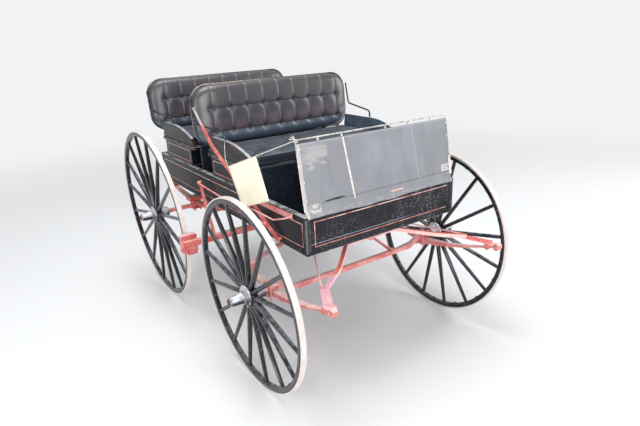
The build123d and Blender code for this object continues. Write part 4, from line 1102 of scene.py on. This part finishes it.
sewn_patch = patch(0.438, 0.070, 0.034, 0.022, 0.006, 0.005)
speckled = sewn_patch * cloud(tree, 120.0, 0.44, 0.54, detail=2.0, shift=9.0)
darned_patch = patch(-0.427, 0.030, 0.036, 0.022, 0.005, 0.004)
darned = darned_patch * cloud(tree, 85.0, 0.42, 0.56, detail=3.0, shift=6.0)
bare_end = abs(place[0] + 0.475).ramp(0.0120, 0.0085) * (cloud(tree, 34.0, 0.25, 0.55) * 0.4 + 0.6)
on_seam = abs(place[0] - seam_foot_u - up_dash * ((seam_top_u - seam_foot_u) / dash_h))
seam_light = on_seam.ramp(0.0062, 0.0035) * up_dash.ramp(0.035, 0.050)
seam_dark = on_seam.ramp(0.0022, 0.0010) * up_dash.ramp(0.035, 0.050)
rail_shade = up_dash.ramp(dash_h - 0.012, dash_h - 0.004)
hem_line = abs(up_dash - hem_v).ramp(0.004, 0.001)
rubbed_hem = patch(0.075, 0.018, 0.050, 0.0045, 0.010, 0.0015)
pink_patch = rubbed_hem * cloud(tree, 60.0, 0.28, 0.50, shift=4.0)
foot_wear = up_dash.ramp(0.012, 0.003) * cloud(tree, 30.0, 0.42, 0.60, shift=7.0)
paint_over(
    tree, shader, "85868c",
    (mottled * 0.6, "96979e"),
    (streaks * 0.35, "7a7b81"),
    (dusty * 0.55, "c0bcb7"),
    (seam_light * 0.45, "b3b5bb"),
    (seam_dark * 0.55, "74767e"),
    (hem_line * 0.6, "5c5e64"),
    (foot_wear * 0.25, "b7b6b7"),
    (rail_shade * 0.3, "bdbdc0"),
    (darned * 0.75, "d4cdca"),
    (speckled * 0.85, "d9d3cf"),
    (bare_end * 0.8, "cdc8c4"),
    (pink_patch * 0.95, "e3b39f"),
)
creases = cloud(tree, 45.0, 0.3, 0.7, shift=3.0)
raise_by(tree, shader, pores(tree, 520.0) * 0.5 + creases * 1.2, 0.0005)

flap_drop = 0.013
flap_front = 0.0132
flap_back = 0.0106
dash_half_t = 0.0052


def hem_wave(u):
    """How much further the hem hangs down at a place along the dash."""
    return 0.0035 * (1 + sin(u * 9.0 + 2.0)) * (1 + 0.4 * sin(u * 31.0))


dash = bmesh.new()
spans, levels = 190, 72
up_dash_list = [-1.0, -0.6, -0.25] + [level / levels for level in range(levels + 1)]
front_rows, back_rows = [], []
for share in up_dash_list:
    front_row, back_row = [], []
    for span in range(spans + 1):
        u = -dash_half_w + 2 * dash_half_w * span / spans
        if share < 0:
            lower = share * (flap_drop + hem_wave(u))
            forward = flap_front + 0.0012 * sin(u * 40.0) * -share
            front_row.append(dash.verts.new(dash_spot(u, lower, forward)))
            back_row.append(dash.verts.new(dash_spot(u, lower, flap_back)))
            continue
        v = dash_h * share
        from_edge = min(dash_half_w - abs(u), dash_h - v)
        thin = dash_half_t * (1 - exp(-from_edge / 0.006)) + 0.0008
        bow = 0.0035 * exp(-((v / 0.03) ** 2)) * sin(u * 3.2 + 0.6)
        over_foot = (flap_front - 0.006) * exp(-((v / 0.014) ** 2))
        relief = dash_relief(u, v) * min(1.0, from_edge / 0.012)
        front_row.append(dash.verts.new(dash_spot(u, v, thin + relief + max(bow, over_foot))))
        back_row.append(dash.verts.new(dash_spot(u, v, -thin + bow)))
    front_rows.append(front_row)
    back_rows.append(back_row)
close_sheet(dash, front_rows, back_rows)
dash_leather = put_on("dash_leather", dash, dash_grey, "carriage")
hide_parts("dash_panel")

# Torn slit: a dark sheet laid over the hem line, painted as the shade inside a tear that gapes. Its
# values are where it runs, half its height, how far it stands over the hem, its slant and its front.
slit_from, slit_to = -0.372, -0.245
slit_gape, slit_thin = 0.0042, 0.0003
slit_rise, slit_slant = 0.0045, 0.0024
slit_front = 0.0070
slit_painted_shade, tree, shader = new_finish("slit_painted_shade", 0.8)
paint_over(tree, shader, "17171b", (cloud(tree, 60.0, 0.4, 0.7), "37363a"))
slit = bmesh.new()
steps = 24
upper, lower = [], []
for step in range(steps + 1):
    share = step / steps
    u = slit_from + (slit_to - slit_from) * share
    v = hem_v + slit_rise + slit_slant * (share - 0.5)
    w = slit_front + dash_relief(u, hem_v + 0.004)
    half = slit_gape * max(sin(pi * share), 0.0) ** 0.7 + slit_thin
    upper.append(slit.verts.new(dash_spot(u, v + half, w)))
    lower.append(slit.verts.new(dash_spot(u, v - half, w)))
join_rows(slit, (lower, upper))
put_on("dash_slit", slit, slit_painted_shade, "carriage")

# Rib and binding of the dash: a flat bar under a strip of leather, rubbed through to a pale
# pinkish ground, and a folded binding along the two ends with rivets.
bare_strip, tree, shader = new_finish("bare_strip", 0.6)
place = spot_fields(tree)
worn = cloud(tree, 60.0, 0.36, 0.62)
paint_over(
    tree, shader, "d6c3bd",
    (worn * 0.8, "eee3dd"),
    (cloud(tree, 24.0, 0.62, 0.74, shift=3.0) * 0.7, "a96f68"),
)
raise_by(tree, shader, worn, 0.0005)
rib = bmesh.new()
rib_half = 0.0052
rib_steps = 40
rib_base = 0.0058 + rib_rise
rib_section = ((-1.0, -0.003), (-0.7, 0.0016), (0.7, 0.0016), (1.0, -0.003))
rows = []
for step in range(rib_steps + 1):
    v = dash_h - 0.002 - (dash_h - 0.032) * step / rib_steps
    u = line_u(rib_top_u, rib_foot_u, v)
    rows.append([
        rib.verts.new(dash_spot(u + rib_half * share, v, rib_base + proud))
        for share, proud in rib_section
    ])
join_rows(rib, rows, closed=True)
rib.faces.new(rows[0])
rib.faces.new(rows[-1][::-1])
put_on("dash_rib", rib, bare_strip, "carriage")

binding = bmesh.new()
binding_r = 0.0052
for side in (-1, 1):
    edge_path = [
        dash_spot(side * (dash_half_w - 0.0015), 0.004 + (dash_h - 0.008) * step / 24, 0.0)
        for step in range(25)
    ]
    tube(binding, edge_path, binding_r, 10)
put_on("dash_binding", binding, dash_grey, "carriage")

# Rivets: small iron heads down the two bindings, with five more on the sewn patch, and the
# wire handle that stands out from the dash's right edge.
rivets = bmesh.new()
edge_rivets = (0.075, 0.155, 0.235, 0.305)
patch_rivets = ((0.418, 0.064), (0.434, 0.076), (0.452, 0.062), (0.458, 0.082), (0.420, 0.082))
for side in (-1, 1):
    for v in edge_rivets:
        at = dash_spot(side * (dash_half_w - 0.009), v, dash_half_t)
        stud(rivets, at, dash_forward, 0.0042, 0.0030, 12, crown=True)
for u, v in patch_rivets:
    stud(rivets, dash_spot(u, v, 0.0056), dash_forward, 0.0032, 0.0026, 12, crown=True)
handle = (
    # out from the dash's edge, up, forward
    (0.0030, 0.060, 0.003), (0.0065, 0.075, 0.004), (0.0075, 0.135, 0.004), (0.0065, 0.195, 0.004),
    (0.0030, 0.212, 0.003),
)
handle_r = 0.0022
tube(rivets, [dash_spot(-dash_half_w - out, up, forward) for out, up, forward in handle], handle_r)
put_on("dash_rivets", rivets, bare_strip, "carriage")

# Side iron: a flat wrought bar over the leather, which holds the dash's left edge to its
# frame, with a collar near its top.
bracket = bmesh.new()
bracket_u = dash_half_w - 0.0045
bracket_back, bracket_front = 0.0065, 0.0095
for low_v, high_v, half_w in ((0.030, 0.130, 0.0085), (0.112, 0.124, 0.0100)):
    section = (
        (-half_w, bracket_back), (half_w, bracket_back), (half_w, bracket_front),
        (-half_w, bracket_front),
    )
    rows = [
        [bracket.verts.new(dash_spot(bracket_u + u, v, w)) for u, w in section]
        for v in (low_v, high_v)
    ]
    join_rows(bracket, rows, closed=True)
    bracket.faces.new(rows[0][::-1])
    bracket.faces.new(rows[1])
put_on("dash_side_iron", bracket, bare_strip, "carriage", False)

# Dash rail: a thin iron rod on short posts over the top of the dash, its black paint gone to
# bare pale grey with a little red primer left.
rail_pale, tree, shader = new_finish("rail_pale", 0.5, 0.3)
worn = cloud(tree, 45.0, 0.36, 0.62)
red_left = cloud(tree, 11.0, 0.58, 0.68, shift=2.0)
paint_over(
    tree, shader, "a8a4a2",
    (worn, "dbd8d3"),
    (red_left * 0.2, "b98a80"),
)
raise_by(tree, shader, worn, 0.0004)
dress(["dash_rail"], rail_pale)

# Running gear: forged iron and ash poles painted vermilion, chalked to salmon in patches, with a painted
# highlight on the faces that look up and painted shade on those that look down, and worn to pale metal
# along the edges.


def gear_paint(name, base, lit, cream, worn_to, wear):
    """Faded red carriage paint: lit in patches, with a painted highlight in cream where it faces up and
    painted shade where it faces down.
    """
    material, tree, shader = new_finish(name, 0.42)
    facing = spot_fields(tree, "Normal")
    chalk = cloud(tree, 13.0, 0.34, 0.66)
    edge = cloud(tree, 46.0, 0.56, 0.70, shift=3.0)
    dark = cloud(tree, 30.0, 0.62, 0.76, shift=8.0)
    paint_over(
        tree, shader, base,
        (chalk * 0.8, lit),
        # Painted highlight: the cream colour on faces that look up.
        (facing[2].ramp(0.25, 0.85) * (chalk * 0.4 + 0.6), cream),
        (edge * wear, worn_to),
        (dark * 0.3, "7c302a"),
        # Painted shade: dark red on faces that look down.
        (facing[2].ramp(-0.5, -0.95) * 0.6, "6a221d"),
    )
    raise_by(tree, shader, edge * -0.6 + cloud(tree, 120.0, 0.3, 0.7, shift=1.0) * 0.4, 0.0005)
    return material


gear_red = gear_paint("gear_red", "c54a42", "e0827a", "f0b9af", "f5d8d0", 0.35)
dress([
    "rear_axle", "rear_side_springs", "rear_cross_spring", "rear_shackles", "body_irons",
    "upper_fifth_wheel", "brake_rod", "brake_rocker", "rocker_brackets",
], gear_red)
gear_salmon = gear_paint("gear_salmon", "d06b68", "e6a09c", "f6d5d1", "fae6e3", 0.35)
dress([
    "front_axle", "front_side_springs", "front_shackles", "front_clips", "lower_fifth_wheel", "king_bolt",
], gear_salmon)
cross_red = gear_paint("cross_red", "cd5f5b", "e29a97", "cfc2c6", "f5e2de", 0.35)
dress(["front_cross_spring"], cross_red)

hound_red, tree, shader = new_finish("hound_red", 0.42)
place = spot_fields(tree)
facing = spot_fields(tree, "Normal")
chalk = cloud(tree, 13.0, 0.34, 0.66)
edge = cloud(tree, 46.0, 0.56, 0.70, shift=3.0)
blade_y = -1.030
near_blade = place[1].ramp(blade_y, blade_y - 0.015) * place[0].ramp(0.02, -0.02)
paint_over(
    tree, shader, "d6605a",
    (chalk * 0.6, "e99389"),
    # Painted highlight: pale pink on faces that look forward.
    (facing[1].ramp(-0.35, -0.80) * 0.9, "f6c6c1"),
    # Painted shade: the tops are painted a deeper red.
    (facing[2].ramp(0.40, 0.90) * 0.55, "e06a5c"),
    (near_blade * 0.8, "d9b0bf"),
    (edge * 0.35, "fbe0d6"),
    # Painted shade: dark red on faces that look down.
    (facing[2].ramp(-0.5, -0.95) * 0.6, "6a221d"),
)
raise_by(tree, shader, edge * -0.6 + cloud(tree, 120.0, 0.3, 0.7, shift=1.0) * 0.4, 0.0005)
dress(["hound_frame"], hound_red)
gear_pale = gear_paint("gear_pale", "cc7570", "dc9a95", "efccc6", "f7e2dc", 0.6)
dress(["hound_ends", "brake_ratchet", "hound_stays"], gear_pale)
saddle_red = gear_paint("saddle_red", "c8463b", "df6c5f", "b9a6a4", "ddc3bc", 0.3)
dress(["rear_clips"], saddle_red)
shoe_red = gear_paint("shoe_red", "bb4a4b", "dd8d90", "efced0", "f8dfdc", 0.6)
dress(["brake_shoes"], shoe_red)

lever_paint, tree, shader = new_finish("brake_lever", 0.42)
place = spot_fields(tree)
chalk = cloud(tree, 16.0, 0.34, 0.66)
edge = cloud(tree, 50.0, 0.52, 0.66, shift=3.0)
grip_z = 1.268
bare = place[2].ramp(grip_z, grip_z + 0.008)
paint_over(
    tree, shader, "b8463f",
    (chalk * 0.7, "d97a70"),
    (edge * 0.35, "f0c4ba"),
    (bare, "8f8985"),
    (bare * chalk, "b7b1ab"),
)
raise_by(tree, shader, edge, 0.0004)
dress(["brake_lever"], lever_paint)

# Bolts of the gear: square and hexagon nuts on the spring clips, hexagon heads at the ends of
# the pins in the spring eyes, and heads on the plates, beams and rings of the front gear.
pin_reach = 0.0243
pin_head_r, pin_head_h, head_sunk = 0.0092, 0.0060, 0.0005
pin_from_end = 0.013
front_x, rear_x = 0.540, 0.385
front_y = -0.691
gear_bolts = {"front_gear": bmesh.new(), "carriage": bmesh.new()}
sideways, endways, upwards = Vector((1, 0, 0)), Vector((0, 1, 0)), Vector((0, 0, 1))


def pin_heads(body, at, along):
    """A bolt head at each end of the pin through an eye."""
    for way in (-1, 1):
        end = at + along * (way * (pin_reach - head_sunk))
        stud(gear_bolts[body], end, along * way, pin_head_r, pin_head_h)


clip_x, clip_y = 0.0235, 0.0285
clip_foot, clip_head = 0.014, 0.0045
for node, body, x in (("front_clips", "front_gear", front_x), ("rear_clips", "carriage", rear_x)):
    low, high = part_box(node)
    mid_y = (low.y + high.y) / 2
    for side in (-1, 1):
        for way_x in (-1, 1):
            for way_y in (-1, 1):
                at = Vector((side * x + way_x * clip_x, mid_y + way_y * clip_y, low.z + clip_foot))
                stud(gear_bolts[body], at, -upwards, 0.0088, 0.0075, 4)
                at.z = high.z - clip_head
                stud(gear_bolts[body], at, upwards, 0.0085, 0.0070)
for node, body, x in (("front_shackles", "front_gear", front_x), ("rear_shackles", "carriage", rear_x)):
    low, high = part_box(node)
    eye_y = (low.y + high.y) / 2
    for side in (-1, 1):
        pin_heads(body, Vector((side * x, eye_y, low.z + pin_from_end)), sideways)
        pin_heads(body, Vector((side * x, eye_y, high.z - pin_from_end)), endways)
iron_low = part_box("body_irons")[0]
body_pin_y = iron_low.y + 0.031
fore_eye = Vector((0.0, -1.1861, 0.5934))
strap_top = 0.6220
for side in (-1, 1):
    pin_heads("carriage", Vector((side * rear_x, body_pin_y, iron_low.z + pin_from_end)), sideways)
    pin_heads("front_gear", fore_eye + sideways * (side * front_x), sideways)
    for back in (0.010, 0.050):
        at = Vector((side * (front_x - back * 0.5), fore_eye.y + back - 0.014, strap_top))
        stud(gear_bolts["front_gear"], at, upwards, 0.0085, 0.0060, 10, crown=True)
ring_bolt_count = 8
ring_r = 0.173
ring_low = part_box("lower_fifth_wheel")[0].z
for index in range(ring_bolt_count):
    angle = 2 * pi * (index + 0.5) / ring_bolt_count
    at = Vector((ring_r * cos(angle), front_y + ring_r * sin(angle), ring_low + head_sunk))
    stud(gear_bolts["front_gear"], at, -upwards, 0.0070, 0.0050, 10, crown=True)
for body, mesh in gear_bolts.items():
    put_on(f"{body}_gear_bolts", mesh, gear_red, body, False)

# Carriage bolts of the body: round iron heads in a row along each sill, where the floor and
# the corner posts are bolted to the side and end panels.
side_bolt_z, side_bolt_places = 0.771, (-0.90, -0.62, -0.36, -0.10, 0.16, 0.42, 0.68, 0.90)
end_bolt_z, end_bolt_places = 0.766, (-0.30, 0.0, 0.30)
sill_bolts = bmesh.new()
for side in (-1, 1):
    for y in side_bolt_places:
        at = Vector((side * body_half_w, y, side_bolt_z))
        stud(sill_bolts, at, sideways * side, 0.0055, 0.0026, 12, crown=True)
for facing_y, y in ((-1, body_front), (1, body_back)):
    for x in end_bolt_places:
        at = Vector((x, y, end_bolt_z))
        stud(sill_bolts, at, endways * facing_y, 0.0050, 0.0024, 12, crown=True)
put_on("sill_bolts", sill_bolts, iron_dark, "carriage")

# Card and string: a blank card of cream board hung by a thin white string, pulled tight from
# the corner of the dash rail past the brake lever and tied to the foot of the seat's arm.
card_corners = (
    Vector((-0.5620, -0.3563, 1.0866)), Vector((-0.5242, -0.6041, 1.1760)),
    Vector((-0.5236, -0.7039, 0.9695)), Vector((-0.5586, -0.4737, 0.8880)),
)
card_t = 0.0014
card_cream, tree, shader = new_finish("card_cream", 0.62)
fibres = cloud(tree, 60.0, 0.30, 0.70)
stain = cloud(tree, 9.0, 0.45, 0.75, shift=3.0)
paint_over(
    tree, shader, "f8efd6",
    (stain * 0.4, "f2e5c2"),
    (fibres * 0.3, "faf4e2"),
)
raise_by(tree, shader, fibres, 0.0002)
card_out = (card_corners[1] - card_corners[0]).cross(card_corners[3] - card_corners[0]).normalized()
if card_out.x > 0:
    card_out.negate()
card = bmesh.new()
card_steps = 16
faces = []
for out in (0.0, card_t):
    rows = []
    for down in range(card_steps + 1):
        row = []
        for across in range(card_steps + 1):
            share_x, share_y = across / card_steps, down / card_steps
            top = card_corners[0].lerp(card_corners[1], share_x)
            foot = card_corners[3].lerp(card_corners[2], share_x)
            curl = 0.006 * (share_y - 0.5) ** 2 + 0.003 * sin(pi * share_x) * share_y
            row.append(card.verts.new(top.lerp(foot, share_y) + card_out * (curl + out)))
        rows.append(row)
    faces.append(rows)
close_sheet(card, *faces)
put_on("blank_card", card, card_cream, "carriage")

string_white, tree, shader = new_finish("string_white", 0.8)
twist = cloud(tree, 260.0, 0.35, 0.65)
paint_over(tree, shader, "b9b4aa", (twist, "efeae0"))
raise_by(tree, shader, twist, 0.0006)
# The string runs from a knot of three turns at the rail's corner, over the card, to the arm.
string = bmesh.new()
rail_corner = Vector((-0.4800, -0.9010, 1.2860))
arm_foot = Vector((-0.5120, -0.2330, 1.2040))
over_card = card_out * 0.002
lever_turn = card_corners[0] + over_card
tube(string, [rail_corner, card_corners[1] + over_card, lever_turn], 0.0019)
to_arm = [lever_turn, Vector((-0.5560, -0.3150, 1.1180)), Vector((-0.5300, -0.2600, 1.1650)), arm_foot]
tube(string, to_arm, 0.0017)
knot_r = 0.0018
knot_steps = 12
for turn in range(3):
    loop_r = 0.0060 + 0.0008 * turn
    loop = []
    for step in range(knot_steps):
        angle = 2 * pi * step / knot_steps
        around = Vector((loop_r * cos(angle), -0.0035 * (turn - 1), loop_r * sin(angle) - 0.0030))
        loop.append(rail_corner + around)
    tube(string, loop, knot_r, 6, closed=True)
loose_ends = (
    Vector((-0.022, 0.004, 0.016)), Vector((-0.030, 0.002, 0.008)), Vector((-0.018, -0.006, 0.024)),
)
arched = Vector((0.0, 0.0, 0.004))
for end in loose_ends:
    tube(string, [rail_corner, rail_corner + end * 0.6 + arched, rail_corner + end], knot_r, 6)
put_on("card_string", string, string_white, "carriage")
